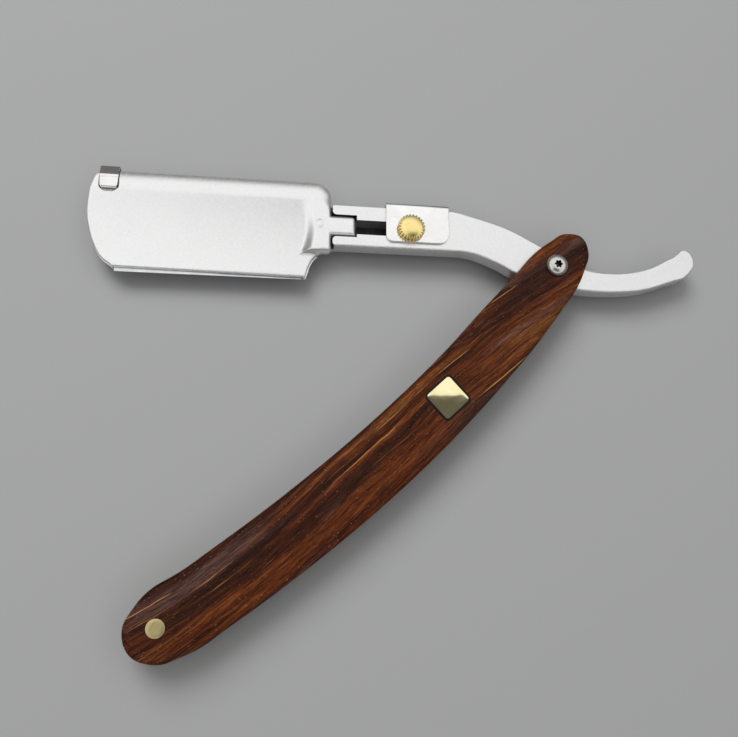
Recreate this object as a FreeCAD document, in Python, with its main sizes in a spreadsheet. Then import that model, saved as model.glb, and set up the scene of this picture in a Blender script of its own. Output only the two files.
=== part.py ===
import FreeCAD, Part
import math
import os
import Sketcher

# Folding razor with a replaceable blade, lying on the outer face of its back scale.
# Millimetres.  Origin: pivot axis at the resting face.  +X along the tang towards the
# tail, +Y towards the spine, +Z up through both scales.

Vector = FreeCAD.Vector
Rotation = FreeCAD.Rotation
Placement = FreeCAD.Placement
UP = Vector(0, 0, 1)

DOC = FreeCAD.newDocument("razor")
SHEET = DOC.addObject("Spreadsheet::Sheet", "sizes")

# Driving dimensions: alias, value.
SIZES = [
    # handle
    ("handle_angle", 222.5),      # direction of the handle from the pivot, degrees
    ("handle_beyond", 20.0),      # scales' far end beyond the folded nose
    ("handle_top", 11.7),         # pivot to the near end of the scales
    ("nose_room", 3.0),           # folded nose to the spacer
    ("handle_width", 17.0),       # widest part of the scales
    ("scale_thick", 2.8),
    ("scale_round", 1.2),         # rounding of the scales' outer edge
    ("end_pin_radius", 2.22),
    ("end_pin_inset", 7.9),       # end pin to the far end
    ("inlay_side", 8.5),
    ("inlay_corner", 1.1),
    ("inlay_thick", 0.8),
    ("inlay_place", 46.4),        # pivot to inlay, along the handle
    ("inlay_offset", 6.2),        # inlay off the pivot line, towards the convex edge
    ("glue_gap", 0.22),
    # pivot
    ("side_gap", 0.3),            # tang face to scale face
    ("screw_radius", 1.5),
    ("screw_head_radius", 3.0),
    ("screw_head_high", 1.5),
    ("recess_radius", 1.15),
    ("recess_deep", 1.0),
    ("sleeve_radius", 2.25),
    ("flange_radius", 3.0),
    ("flange_thick", 0.9),
    ("flange_sunk", 0.25),
    ("washer_radius", 4.6),
    ("running_gap", 0.05),        # radial clearance of what turns or slides on a pin
    ("press_gap", 0.01),          # radial clearance of what is pressed in
    ("face_gap", 0.02),           # clearance between flat faces that rub
    # tang and head
    ("tang_thick", 5.0),
    ("tail_reach", 40.9),         # pivot to the end of the tail
    ("nose_reach", 120.2),        # pivot to the nose
    ("root_reach", 59.1),         # pivot to the cover plate's root end
    ("spine_high", 21.2),
    ("edge_low", 4.66),           # blade lips below the pivot line at the root
    ("edge_tilt", 0.77),          # lips and blade turned from the X axis, degrees
    ("arm_top", 15.05),
    ("arm_bottom", 3.7),
    ("arm_round", 0.45),
    ("cover_thick", 2.5),
    ("plate_gap", 0.1),           # cover plate to its bed on the tang
    ("zone_deep", 1.5),           # step from the spine band down to the blade zone
    ("band_wide", 5.2),           # full-thickness band along the spine
    ("back_zone_deep", 1.0),
    ("lip_thick", 0.5),           # plate thickness at the blade lips
    ("spine_round", 1.3),
    ("back_round", 1.0),
    ("tongue_long", 6.3),
    ("tongue_low", 6.5),
    ("tongue_high", 11.9),
    ("fork_gap", 0.3),            # cover plate to fork tips, and tongue to notch
    ("slot_width", 3.95),
    ("slot_centre", 8.98),
    ("root_pin_radius", 1.0),
    ("root_pin_inset", 2.9),      # cover plate's root end to the pin
    ("root_pin_high", 9.4),
    ("root_pin_deep", 1.2),       # pin's end in the tang, below the bed
    ("pin_play", 0.25),           # radial room for the pins that lift with the cover plate
    ("dowel_radius", 0.8),
    ("dowel_deep", 1.9),
    ("dowel_out", 1.2),           # dowel's end above the bed
    ("dowel_drop", 2.2),          # spine to the dowel
    # blade
    ("blade_long", 47.0),
    ("blade_wide", 11.0),
    ("blade_thick", 0.25),
    ("blade_bevel", 0.9),
    ("blade_out", 0.8),           # cutting edge beyond the lips
    ("blade_inset", 7.2),         # cover plate's root end to the blade
    ("seat_gap", 0.2),
    ("seat_lift", 0.04),          # blade to the seat below it and the bed above it
    # nose clip
    ("clip_inset", 5.0),          # nose to the clip's middle
    ("clip_wide", 4.65),
    ("clip_thick", 0.4),
    ("clip_leg", 6.15),           # spine to the clip's foot
    ("clip_side_room", 0.28),     # clip's seat beyond the clip, each side
    ("clip_seat_deep", 0.65),
    ("rivet_radius", 0.8),
    ("rivet_head", 0.5),          # rivet's head beyond its shank
    ("rivet_deep", 1.35),
    ("rivet_drop", 4.5),          # spine to the rivet
    ("end_room", 0.05),           # blind hole beyond the rivet's end
    # lock
    ("saddle_inset", 22.6),       # cover plate's root end to the saddle's middle, unlocked
    ("saddle_long", 16.8),
    ("saddle_thick", 0.6),
    ("saddle_foot", 5.3),
    ("saddle_gap", 0.08),
    ("saddle_back_foot", 12.2),
    ("knob_inset", 20.7),
    ("knob_radius", 3.5),
    ("knob_high", 1.9),
    ("knob_stud_radius", 1.25),
    ("lock_travel", 11.0),
    ("bar_wide", 5.8),
    ("bar_thick", 1.1),
    ("block_long", 5.0),
]
KNURLS = 24


class Length:
    """A number kept together with the spreadsheet formula that gives it."""

    def __init__(self, value, formula):
        self.value = value
        self.formula = formula

    def __float__(self):
        return self.value

    def __add__(self, other):
        other = length(other)
        return Length(self.value + other.value, f"({self.formula} + {other.formula})")

    def __sub__(self, other):
        other = length(other)
        return Length(self.value - other.value, f"({self.formula} - {other.formula})")

    def __mul__(self, factor):
        return Length(self.value * factor, f"({self.formula} * {factor})")


def length(item):
    """Turn an alias or a number into a Length."""
    if isinstance(item, Length):
        return item
    if isinstance(item, str):
        return Length(dict(SIZES)[item], f"{SHEET.Name}.{item}")
    return Length(float(item), str(item))


def bind(feature, prop, item):
    """Set a property's value and tie it to the spreadsheet."""
    feature.setExpression(prop, length(item).formula)


def fill_sheet():
    for row, (alias, value) in enumerate(SIZES, start=1):
        SHEET.set(f"A{row}", alias)
        SHEET.set(f"B{row}", str(value))
        SHEET.setAlias(f"B{row}", alias)
    DOC.recompute()


# ------------------------------------------------------------------ levels and shared places
fill_sheet()
SCALE_TOP = length("scale_thick")                       # back scale's inner face
TANG_BACK = SCALE_TOP + "side_gap"
TANG_FRONT = TANG_BACK + "tang_thick"
FRONT_SCALE = TANG_FRONT + "side_gap"                   # front scale's inner face
SCALE_FACE = FRONT_SCALE + "scale_thick"
COVER_BACK = TANG_FRONT - "cover_thick"
BED = COVER_BACK - "plate_gap"                          # top of the tang under the cover plate
NOSE_X = -float(length("nose_reach"))
ROOT_X = -float(length("root_reach"))
FORK_X = ROOT_X + float(length("fork_gap"))
SPINE_Y = float(length("spine_high"))
BAND_Y = SPINE_Y - float(length("band_wide"))           # lower edge of the spine band
TOP_Y = float(length("arm_top"))
BOTTOM_Y = float(length("arm_bottom"))
TILT = math.radians(float(length("edge_tilt")))
LIP_ROOT_X = ROOT_X - 6.3                               # root end of the blade lips
LIP_ROOT = (LIP_ROOT_X, -float(length("edge_low")))
LIP_NOSE_X = NOSE_X + 6.8
LIP_NOSE = (LIP_NOSE_X, LIP_ROOT[1] + (LIP_ROOT_X - LIP_NOSE_X) * math.tan(TILT))
HANDLE_REACH = length("nose_reach") + "handle_beyond"
CLIP_X = NOSE_X + float(length("clip_inset"))
HANDLE_TURN = Rotation(UP, float(length("handle_angle")))


# ------------------------------------------------------------------ sketch and feature helpers
def new_body(label, base=Vector(), turn=None):
    body = DOC.addObject("PartDesign::Body", label + "_body")
    body.Label = label
    body.Placement = Placement(base, turn or Rotation())
    return body


def new_sketch(body, name, role="XY_Plane", level=0):
    """A sketch on one of the body's own origin planes, raised to a level."""
    sketch = body.newObject("Sketcher::SketchObject", name)
    plane = [item for item in body.Origin.OriginFeatures if item.Role == role][0]
    sketch.AttachmentSupport = [(plane, "")]
    sketch.MapMode = "FlatFace"
    bind(sketch, "AttachmentOffset.Base.z", level)
    return sketch


def flat(point):
    return Vector(point[0], point[1], 0)


def directions(places, leave, arrive):
    """The direction at each point: that of the circle through it and its two neighbours."""
    found = [flat(leave).normalize()]
    for before, here, after in zip(places, places[1:], places[2:]):
        back = here - before
        ahead = after - here
        mixed = back * (ahead.Length / back.Length) + ahead * (back.Length / ahead.Length)
        found.append(mixed.normalize())
    return found + [flat(arrive).normalize()]


def draw_arc(sketch, start, way, end):
    """An arc that leaves its start in a given direction."""
    chord = end - start
    across = way - chord * (way.dot(chord) / chord.dot(chord))
    if across.Length < 1e-5:
        sketch.addGeometry(Part.LineSegment(start, end), False)
        return
    angle = way.getAngle(chord)
    crown = start + chord * 0.5 + across.normalize() * (chord.Length / 2 * math.tan(angle / 2))
    sketch.addGeometry(Part.Arc(start, crown, end), False)


def draw_curve(sketch, points, leave, arrive):
    """A smooth chain of tangent arcs through points, two arcs to each span."""
    places = [flat(point) for point in points]
    ways = directions(places, leave, arrive)
    for number in range(len(places) - 1):
        start, end = places[number], places[number + 1]
        way, last = ways[number], ways[number + 1]
        chord = end - start
        bend = 2 * (1 - way.dot(last))
        lean = chord.dot(way + last)
        if bend < 1e-9:
            reach = chord.dot(chord) / (2 * lean)
        else:
            reach = (math.sqrt(lean * lean + bend * chord.dot(chord)) - lean) / bend
        joint = (start + end + (way - last) * reach) * 0.5
        draw_arc(sketch, start, way, joint)
        draw_arc(sketch, end, last * -1, joint)


def trace(sketch, start, steps):
    """Draw a closed outline of lines, arcs and smooth curves."""
    here = start
    for kind, *points in steps:
        end = points[-1]
        if kind == "line":
            sketch.addGeometry(Part.LineSegment(flat(here), flat(end)), False)
        elif kind == "arc":
            sketch.addGeometry(Part.Arc(flat(here), flat(points[0]), flat(end)), False)
        else:
            leave, arrive, *through = points
            draw_curve(sketch, [here] + through, leave, arrive)
        here = end


def circle(sketch, centre, radius):
    """A circle whose radius follows the spreadsheet."""
    ring = sketch.addGeometry(Part.Circle(flat(centre), UP, float(length(radius))), False)
    rule = sketch.addConstraint(Sketcher.Constraint("Radius", ring, float(length(radius))))
    bind(sketch, f"Constraints[{rule}]", radius)


def rectangle_steps(low, high):
    return (low[0], low[1]), [
        ("line", (high[0], low[1])),
        ("line", (high[0], high[1])),
        ("line", (low[0], high[1])),
        ("line", (low[0], low[1])),
    ]


def pad(body, sketch, name, size):
    feature = body.newObject("PartDesign::Pad", name)
    feature.Profile = sketch
    bind(feature, "Length", size)
    return settle(body, feature)


def settle(body, feature):
    body.Tip = feature
    DOC.recompute()
    return feature


def pocket(body, sketch, name, size, upward=False):
    """Cut down from the sketch, or up from it, and make sure that it cuts."""
    before = body.Shape.Volume
    feature = body.newObject("PartDesign::Pocket", name)
    feature.Profile = sketch
    feature.Reversed = upward
    bind(feature, "Length", size)
    settle(body, feature)
    if body.Shape.Volume > before - 1e-6:
        raise RuntimeError(f"{name} cuts nothing")
    return feature


def revolve(body, name, points):
    """A full turn of a closed profile of (radius, height) points about the Z axis."""
    sketch = new_sketch(body, name + "_profile", "XZ_Plane")
    trace(sketch, points[0], [("line", point) for point in points[1:] + points[:1]])
    feature = body.newObject("PartDesign::Revolution", name)
    feature.Profile = sketch
    feature.ReferenceAxis = (sketch, ["V_Axis"])
    feature.Angle = 360
    return settle(body, feature)


def edges_where(shape, test):
    return [f"Edge{number}" for number, edge in enumerate(shape.Edges, start=1) if test(edge)]


def round_edges(body, name, size, test):
    """Fillet the edges of the body that pass a test."""
    base = body.Tip
    names = edges_where(base.Shape, test)
    if not names:
        raise RuntimeError(f"{name} finds no edge")
    feature = body.newObject("PartDesign::Fillet", name)
    feature.Base = (base, names)
    bind(feature, "Radius", size)
    return settle(body, feature)


def at_level(edge, level):
    """True where the whole edge lies at one height."""
    return all(abs(vertex.Z - float(level)) < 1e-4 for vertex in edge.Vertexes)


def middle(edge):
    return edge.valueAt((edge.FirstParameter + edge.LastParameter) / 2)


def hole(body, name, centre, radius, level, size):
    """A round hole cut down from a level."""
    sketch = new_sketch(body, name + "_circle", level=level)
    circle(sketch, centre, radius)
    return pocket(body, sketch, name, size)


# ------------------------------------------------------------------ handle
def draw_scale(sketch):
    """Banana-curved outline, x along the handle and y towards its convex edge."""
    reach = float(HANDLE_REACH)
    top = -float(length("handle_top"))
    hollow = -2.0                                       # concave edge at mid length
    crown = hollow + float(length("handle_width"))      # convex edge at mid length
    near_end = (top, -0.6)
    far_end = (reach, 0.4)
    trace(sketch, near_end, [
        ("curve", (0, 1), (0, -1), (top + 1.6, 3.1), (top + 6.7, 6.2), (reach * 0.083, crown - 4.6),
         (reach * 0.267, crown - 1.3), (reach * 0.48, crown), (reach * 0.695, crown - 1.4),
         (reach * 0.842, crown - 3.7), (reach - 9.0, 9.0), (reach - 2.4, 5.6), far_end),
        ("curve", (0, -1), (0, 1), (reach - 2.3, -4.7), (reach - 7.6, -6.8),
         (reach * 0.835, hollow - 3.3), (reach * 0.688, hollow - 1.3), (reach * 0.48, hollow),
         (reach * 0.285, hollow - 0.7), (reach * 0.1, hollow - 3.0), (top + 8.7, -6.0),
         (top + 2.7, -4.6), near_end),
    ])


def end_pin_centre():
    return (float(HANDLE_REACH - "end_pin_inset"), 0.0)


def rounded_square(sketch, centre, side, corner):
    """A square with rounded corners, turned square to the handle."""
    half = side / 2
    inner = half - corner
    bulge = inner + corner * math.sqrt(0.5)
    x, y = centre
    steps = []
    for turn in range(4):
        c, s = [(1, 0), (0, 1), (-1, 0), (0, -1)][turn]

        def place(a, b):
            return (x + a * c - b * s, y + a * s + b * c)

        steps += [
            ("line", place(half, inner)),
            ("arc", place(bulge, bulge), place(inner, half)),
        ]
    trace(sketch, (x + half, y - inner), steps)


def make_scale(label, level, outer_level, bore):
    """One wooden scale: outline, rounded outer edge, pivot bore and end pin hole."""
    body = new_body(label, turn=HANDLE_TURN)
    outline = new_sketch(body, label + "_outline", level=level)
    draw_scale(outline)
    pad(body, outline, label + "_board", "scale_thick")
    round_edges(body, label + "_round", "scale_round", lambda edge: at_level(edge, outer_level))
    top = length(level) + "scale_thick"
    hole(body, label + "_pivot_bore", (0, 0), bore, top, "scale_thick")
    pin_bore = length("end_pin_radius") + "press_gap"
    hole(body, label + "_pin_bore", end_pin_centre(), pin_bore, top, "scale_thick")
    return body


def inlay_centre():
    return (float(length("inlay_place")), float(length("inlay_offset")))


def make_scales():
    front = make_scale("front_scale", FRONT_SCALE, SCALE_FACE, length("screw_radius") + "running_gap")
    inlay = new_sketch(front, "inlay_pocket_outline", level=SCALE_FACE)
    side = float(length("inlay_side") + length("glue_gap") * 2)
    corner = float(length("inlay_corner") + "glue_gap")
    rounded_square(inlay, inlay_centre(), side, corner)
    pocket(front, inlay, "inlay_pocket", "inlay_thick")

    back = make_scale("back_scale", length(0), length(0), length("sleeve_radius") + "press_gap")
    sunk = length("flange_sunk") + "flange_thick"
    counterbore = new_sketch(back, "flange_seat_circle")
    circle(counterbore, (0, 0), length("flange_radius") + "press_gap")
    pocket(back, counterbore, "flange_seat", sunk, upward=True)


def make_spacer():
    """Spacer between the scales' far ends; its inner face is an arc about the pivot."""
    body = new_body("scale_spacer", turn=HANDLE_TURN)
    outline = new_sketch(body, "spacer_outline", level=SCALE_TOP)
    draw_scale(outline)
    thick = length("tang_thick") + length("side_gap") * 2
    pad(body, outline, "spacer_block", thick)
    sweep = new_sketch(body, "nose_sweep", level=SCALE_TOP + thick)
    circle(sweep, (0, 0), length("nose_reach") + "nose_room")
    pocket(body, sweep, "nose_room", thick)
    pin_bore = length("end_pin_radius") + "press_gap"
    hole(body, "spacer_pin_bore", end_pin_centre(), pin_bore, SCALE_TOP + thick, thick)


def make_end_pin():
    pin = DOC.addObject("Part::Cylinder", "end_pin_rod")
    pin.Label = "end_pin"
    bind(pin, "Radius", "end_pin_radius")
    bind(pin, "Height", SCALE_FACE)
    pin.Placement = Placement(HANDLE_TURN.multVec(flat(end_pin_centre())), HANDLE_TURN)
    DOC.recompute()


def make_inlay():
    body = new_body("square_inlay", turn=HANDLE_TURN)
    outline = new_sketch(body, "inlay_outline", level=SCALE_FACE - "inlay_thick")
    rounded_square(outline, inlay_centre(), float(length("inlay_side")), float(length("inlay_corner")))
    pad(body, outline, "inlay_plate", "inlay_thick")


# ------------------------------------------------------------------ pivot
def recess_steps(outer, inner):
    """Six-lobe socket: lobes out to one radius, valleys in to another."""
    shoulder = (outer + inner) / 2

    def polar(radius, degrees):
        angle = math.radians(degrees)
        return (radius * math.cos(angle), radius * math.sin(angle))

    steps = []
    for lobe in range(6):
        at = 60 * lobe
        steps.append(("arc", polar(outer, at), polar(shoulder, at + 16)))
        steps.append(("arc", polar(inner, at + 30), polar(shoulder, at + 44)))
    return polar(shoulder, -16), steps


def make_pivot():
    screw = new_body("pivot_screw")
    head = float(length("screw_head_radius"))
    high = float(length("screw_head_high"))
    shank = float(length("screw_radius"))
    face = float(SCALE_FACE)
    tip = float(SCALE_TOP)
    dome = [
        (head * math.cos(math.radians(angle)), face + 0.35 + (high - 0.35) * math.sin(math.radians(angle)))
        for angle in range(0, 90, 15)
    ]
    profile = [(0, tip), (shank - 0.3, tip), (shank, tip + 0.3), (shank, face), (head, face)]
    revolve(screw, "screw_turned", profile + dome + [(0, face + high)])
    socket = new_sketch(screw, "socket_outline", level=SCALE_FACE + "screw_head_high")
    outer = float(length("recess_radius"))
    start, steps = recess_steps(outer, outer * 0.72)
    trace(socket, start, steps)
    pocket(screw, socket, "socket", "recess_deep")

    barrel = new_body("pivot_barrel")
    sunk = float(length("flange_sunk"))
    shoulder = sunk + float(length("flange_thick"))
    flange = float(length("flange_radius"))
    sleeve = float(length("sleeve_radius"))
    end = float(TANG_FRONT)
    bore = shank + float(length("press_gap"))
    floor = tip - 0.4
    revolve(barrel, "barrel_turned", [
        (0, sunk), (flange, sunk), (flange, shoulder), (sleeve, shoulder), (sleeve, end),
        (bore, end), (bore, floor), (0, floor),
    ])

    for label, level in [("back_washer", SCALE_TOP), ("front_washer", TANG_FRONT)]:
        washer = new_body(label)
        ring = new_sketch(washer, label + "_ring", level=level + "face_gap")
        circle(ring, (0, 0), "washer_radius")
        circle(ring, (0, 0), length("sleeve_radius") + "running_gap")
        pad(washer, ring, label + "_disc", length("side_gap") - length("face_gap") * 2)


# ------------------------------------------------------------------ tang
def nose_steps(end):
    """The nose, from the spine round to the nose end of the lips."""
    x = NOSE_X
    y = SPINE_Y
    return [
        ("curve", (-1, 0), (0.7, -0.71), (x + 4.0, y - 0.3), (x + 2.0, y - 1.5), (x + 0.8, y - 4.0),
         (x + 0.1, y - 8.3), (x + 0.1, y - 12.5), (x + 0.9, y - 16.4), (x + 2.1, y - 19.8),
         (x + 4.1, y - 23.1), end),
    ]


def shoulder_steps():
    """The head's upper root corner, from its root end round to the spine."""
    reach = 4.4
    bulge = reach * (1 - math.sqrt(0.5))
    return [
        ("arc", (ROOT_X - bulge, SPINE_Y - bulge), (ROOT_X - reach, SPINE_Y)),
        ("line", (NOSE_X + 7.2, SPINE_Y)),
    ]


def arm_steps():
    """Arm, pivot eye and tail, from the arm's lower edge round to its upper edge."""
    tail = float(length("tail_reach"))
    low = BOTTOM_Y
    top = TOP_Y
    return [
        ("curve", (1, 0), (-1, 0), (-22.0, low - 0.35), (-15.9, low - 2.4), (-8.8, low - 5.8),
         (0.0, -4.1), (8.1, -5.45), (16.3, -5.6), (24.8, -4.7), (tail - 7.5, -2.0),
         (tail - 2.4, 0.1), (tail, 4.3), (tail - 1.6, 7.35), (tail - 6.8, 5.0), (tail - 13.5, 1.7),
         (16.7, -0.2), (9.1, 0.6), (2.6, 3.7), (-3.5, 6.75), (-11.5, top - 4.3), (-20.5, top - 1.5),
         (-28.0, top)),
    ]


def draw_tang(sketch):
    trace(sketch, LIP_NOSE, [
        ("line", LIP_ROOT),
        ("curve", (0.35, 0.94), (1, 0), (LIP_ROOT_X + 1.9, 0.4), (LIP_ROOT_X + 3.6, 2.4),
         (LIP_ROOT_X + 10.4, BOTTOM_Y)),
        ("line", (-28.5, BOTTOM_Y)),
        *arm_steps(),
        ("line", (ROOT_X, TOP_Y)),
        ("line", (ROOT_X, SPINE_Y - 4.4)),
        *shoulder_steps(),
        *nose_steps(LIP_NOSE),
    ])


def draw_bed(sketch):
    """Area cut down for the cover plate: the head, the fork tips' ends and the notch."""
    gap = float(length("fork_gap"))
    tip = 1.0                                           # rounding of the fork tips
    low = float(length("tongue_low")) - gap
    high = float(length("tongue_high")) + gap
    end = ROOT_X + float(length("tongue_long")) + gap
    cut = tip * math.sqrt(0.5)
    outside_x = NOSE_X - 5
    trace(sketch, (FORK_X + tip, -10), [
        ("line", (FORK_X + tip, BOTTOM_Y - 0.1)),
        ("arc", (FORK_X + tip - cut, BOTTOM_Y - 0.1 + tip - cut), (FORK_X, BOTTOM_Y - 0.1 + tip)),
        ("line", (FORK_X, low - tip)),
        ("arc", (FORK_X + tip - cut, low - tip + cut), (FORK_X + tip, low)),
        ("line", (end, low)),
        ("line", (end, high)),
        ("line", (FORK_X + tip, high)),
        ("arc", (FORK_X + tip - cut, high + tip - cut), (FORK_X, high + tip)),
        ("line", (FORK_X, TOP_Y + 0.1 - tip)),
        ("arc", (FORK_X + tip - cut, TOP_Y + 0.1 - tip + cut), (FORK_X + tip, TOP_Y + 0.1)),
        ("line", (FORK_X + tip, SPINE_Y + 5)),
        ("line", (outside_x, SPINE_Y + 5)),
        ("line", (outside_x, -10)),
        ("line", (FORK_X + tip, -10)),
    ])


def draw_zone(sketch):
    """The lowered blade zone: below the spine band and in front of the root block's arc."""
    top = BAND_Y
    step_x = ROOT_X - 6.8
    outside_x = NOSE_X - 5
    trace(sketch, (outside_x, top), [
        ("line", (step_x - 1.0, top)),
        ("arc", (step_x - 0.3, top - 0.3), (step_x, top - 1.0)),
        ("arc", (step_x + 1.4, (top - 1.0 + 2.6) / 2), (step_x + 0.2, 2.6)),
        ("arc", (step_x + 0.4, 2.2), (step_x + 1.0, 2.0)),
        ("line", (ROOT_X + 4, 2.0)),
        ("line", (ROOT_X + 4, -10)),
        ("line", (outside_x, -10)),
        ("line", (outside_x, top)),
    ])


def thin_lips(body, name, side, level, lip):
    """Cut the blade zone down to thin lips, in a slope that runs the length of the head."""
    start_y = 2.0
    end_y = -7.0
    run = (start_y - end_y) / (start_y + float(length("edge_low")))
    drop = (lip - level) * run
    sketch = new_sketch(body, name + "_profile", "YZ_Plane", level=NOSE_X - 5)
    trace(sketch, (start_y, level), [
        ("line", (end_y, level + drop)),
        ("line", (end_y, level + side * 4)),
        ("line", (start_y, level + side * 4)),
        ("line", (start_y, level)),
    ])
    pocket(body, sketch, name, length("nose_reach") - "root_reach" + 7.0, upward=True)


def dowel_place():
    return (CLIP_X, SPINE_Y - float(length("dowel_drop")))


def rivet_place():
    return (CLIP_X, SPINE_Y - float(length("rivet_drop")))


def root_pin_place():
    return (ROOT_X - float(length("root_pin_inset")), float(length("root_pin_high")))


def in_notch(edge):
    point = middle(edge)
    gap = float(length("fork_gap"))
    inside_y = float(length("tongue_low")) - gap - 0.1 < point.y < float(length("tongue_high")) + gap + 0.1
    return inside_y and point.x < ROOT_X + float(length("tongue_long")) + gap + 0.1


def trace_blade(sketch, gap):
    """The blade's outline grown by a gap, open past the lips."""
    along = Vector(math.cos(TILT), -math.sin(TILT), 0)
    across = Vector(math.sin(TILT), math.cos(TILT), 0)
    origin = blade_corner()
    wide = float(length("blade_wide")) + gap
    long = float(length("blade_long")) + gap
    corners = [
        origin - along * long - across * 3,
        origin + along * gap - across * 3,
        origin + along * gap + across * wide,
        origin - along * long + across * wide,
    ]
    points = [(corner.x, corner.y) for corner in corners]
    trace(sketch, points[0], [("line", point) for point in points[1:] + points[:1]])


def blade_corner():
    """The root end of the cutting edge."""
    x = ROOT_X - float(length("blade_inset"))
    lip = LIP_ROOT[1] + (LIP_ROOT_X - x) * math.tan(TILT)
    return Vector(x, lip - float(length("blade_out")), 0)


def make_tang():
    body = new_body("tang")
    outline = new_sketch(body, "tang_outline", level=TANG_BACK)
    draw_tang(outline)
    pad(body, outline, "tang_plate", "tang_thick")
    bed = new_sketch(body, "bed_outline", level=TANG_FRONT)
    draw_bed(bed)
    pocket(body, bed, "bed", TANG_FRONT - BED)
    zone = new_sketch(body, "back_zone_outline", level=TANG_BACK)
    draw_zone(zone)
    pocket(body, zone, "back_zone", "back_zone_deep", upward=True)
    thin_lips(body, "back_lip", -1, float(TANG_BACK + "back_zone_deep"), float(BED - "lip_thick"))

    def spine_edge(edge):
        point = middle(edge)
        return at_level(edge, TANG_BACK) and point.y > SPINE_Y - 2.5 and point.x < ROOT_X

    round_edges(body, "back_spine", "back_round", spine_edge)

    def arm_edge(edge):
        point = middle(edge)
        outside = FORK_X + 1.2 < point.x
        return outside and (at_level(edge, TANG_FRONT) or at_level(edge, TANG_BACK))

    round_edges(body, "arm_edges", "arm_round", lambda edge: arm_edge(edge) and not in_notch(edge))

    slot = new_sketch(body, "slot_outline", level=TANG_FRONT)
    centre = float(length("slot_centre"))
    half = float(length("slot_width")) / 2
    start = ROOT_X + float(length("tongue_long") + "fork_gap")
    room = float(length("block_long")) / 2 + 0.7        # slot end beyond the knob's axis
    end = ROOT_X + float(length("knob_inset")) + room - half
    trace(slot, (start, centre - half), [
        ("line", (end, centre - half)),
        ("arc", (end + half, centre), (end, centre + half)),
        ("line", (start, centre + half)),
        ("line", (start, centre - half)),
    ])
    pocket(body, slot, "slot", "tang_thick")
    pivot_bore = length("sleeve_radius") + "running_gap"
    hole(body, "pivot_bore", (0, 0), pivot_bore, TANG_FRONT, "tang_thick")

    seat = new_sketch(body, "blade_seat_outline", level=BED)
    trace_blade(seat, float(length("seat_gap")))
    pocket(body, seat, "blade_seat", length("blade_thick") + length("seat_lift") * 2)

    pin_room = length("root_pin_radius") + "pin_play"
    hole(body, "root_pin_hole", root_pin_place(), pin_room, BED, length("root_pin_deep") + 0.2)
    hole(body, "dowel_hole", dowel_place(), length("dowel_radius") + "press_gap", BED, "dowel_deep")
    rivet = new_sketch(body, "rivet_hole_circle", level=TANG_BACK)
    circle(rivet, rivet_place(), length("rivet_radius") + "press_gap")
    pocket(body, rivet, "rivet_hole", length("rivet_deep") + "end_room", upward=True)


def make_rod(label, place, radius, bottom, size):
    """A plain round rod along Z."""
    rod = DOC.addObject("Part::Cylinder", label + "_rod")
    rod.Label = label
    bind(rod, "Radius", radius)
    bind(rod, "Height", size)
    rod.Placement = Placement(flat(place), Rotation())
    bind(rod, "Placement.Base.z", bottom)
    DOC.recompute()


def make_dowels():
    dowel_long = length("dowel_deep") + "dowel_out"
    make_rod("nose_dowel", dowel_place(), "dowel_radius", BED - "dowel_deep", dowel_long)
    through = length("cover_thick") + "plate_gap" + "root_pin_deep"
    make_rod("root_pin", root_pin_place(), "root_pin_radius", BED - "root_pin_deep", through)


def make_blade():
    """Single-edge blade with a ground bevel, lying in its seat."""
    lift = float(BED - "blade_thick" - "seat_lift")
    middle_z = float(length("blade_thick")) / 2
    corner = blade_corner()
    turn = Rotation(UP, -float(length("edge_tilt")))
    body = new_body("razor_blade", Vector(corner.x, corner.y, lift), turn)
    profile = new_sketch(body, "blade_profile", "YZ_Plane")
    bevel = float(length("blade_bevel"))
    wide = float(length("blade_wide"))
    thick = float(length("blade_thick"))
    trace(profile, (0, middle_z), [
        ("line", (bevel, 0)),
        ("line", (wide, 0)),
        ("line", (wide, thick)),
        ("line", (bevel, thick)),
        ("line", (0, middle_z)),
    ])
    feature = pad(body, profile, "blade_sheet", "blade_long")
    feature.Reversed = True
    settle(body, feature)


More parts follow.
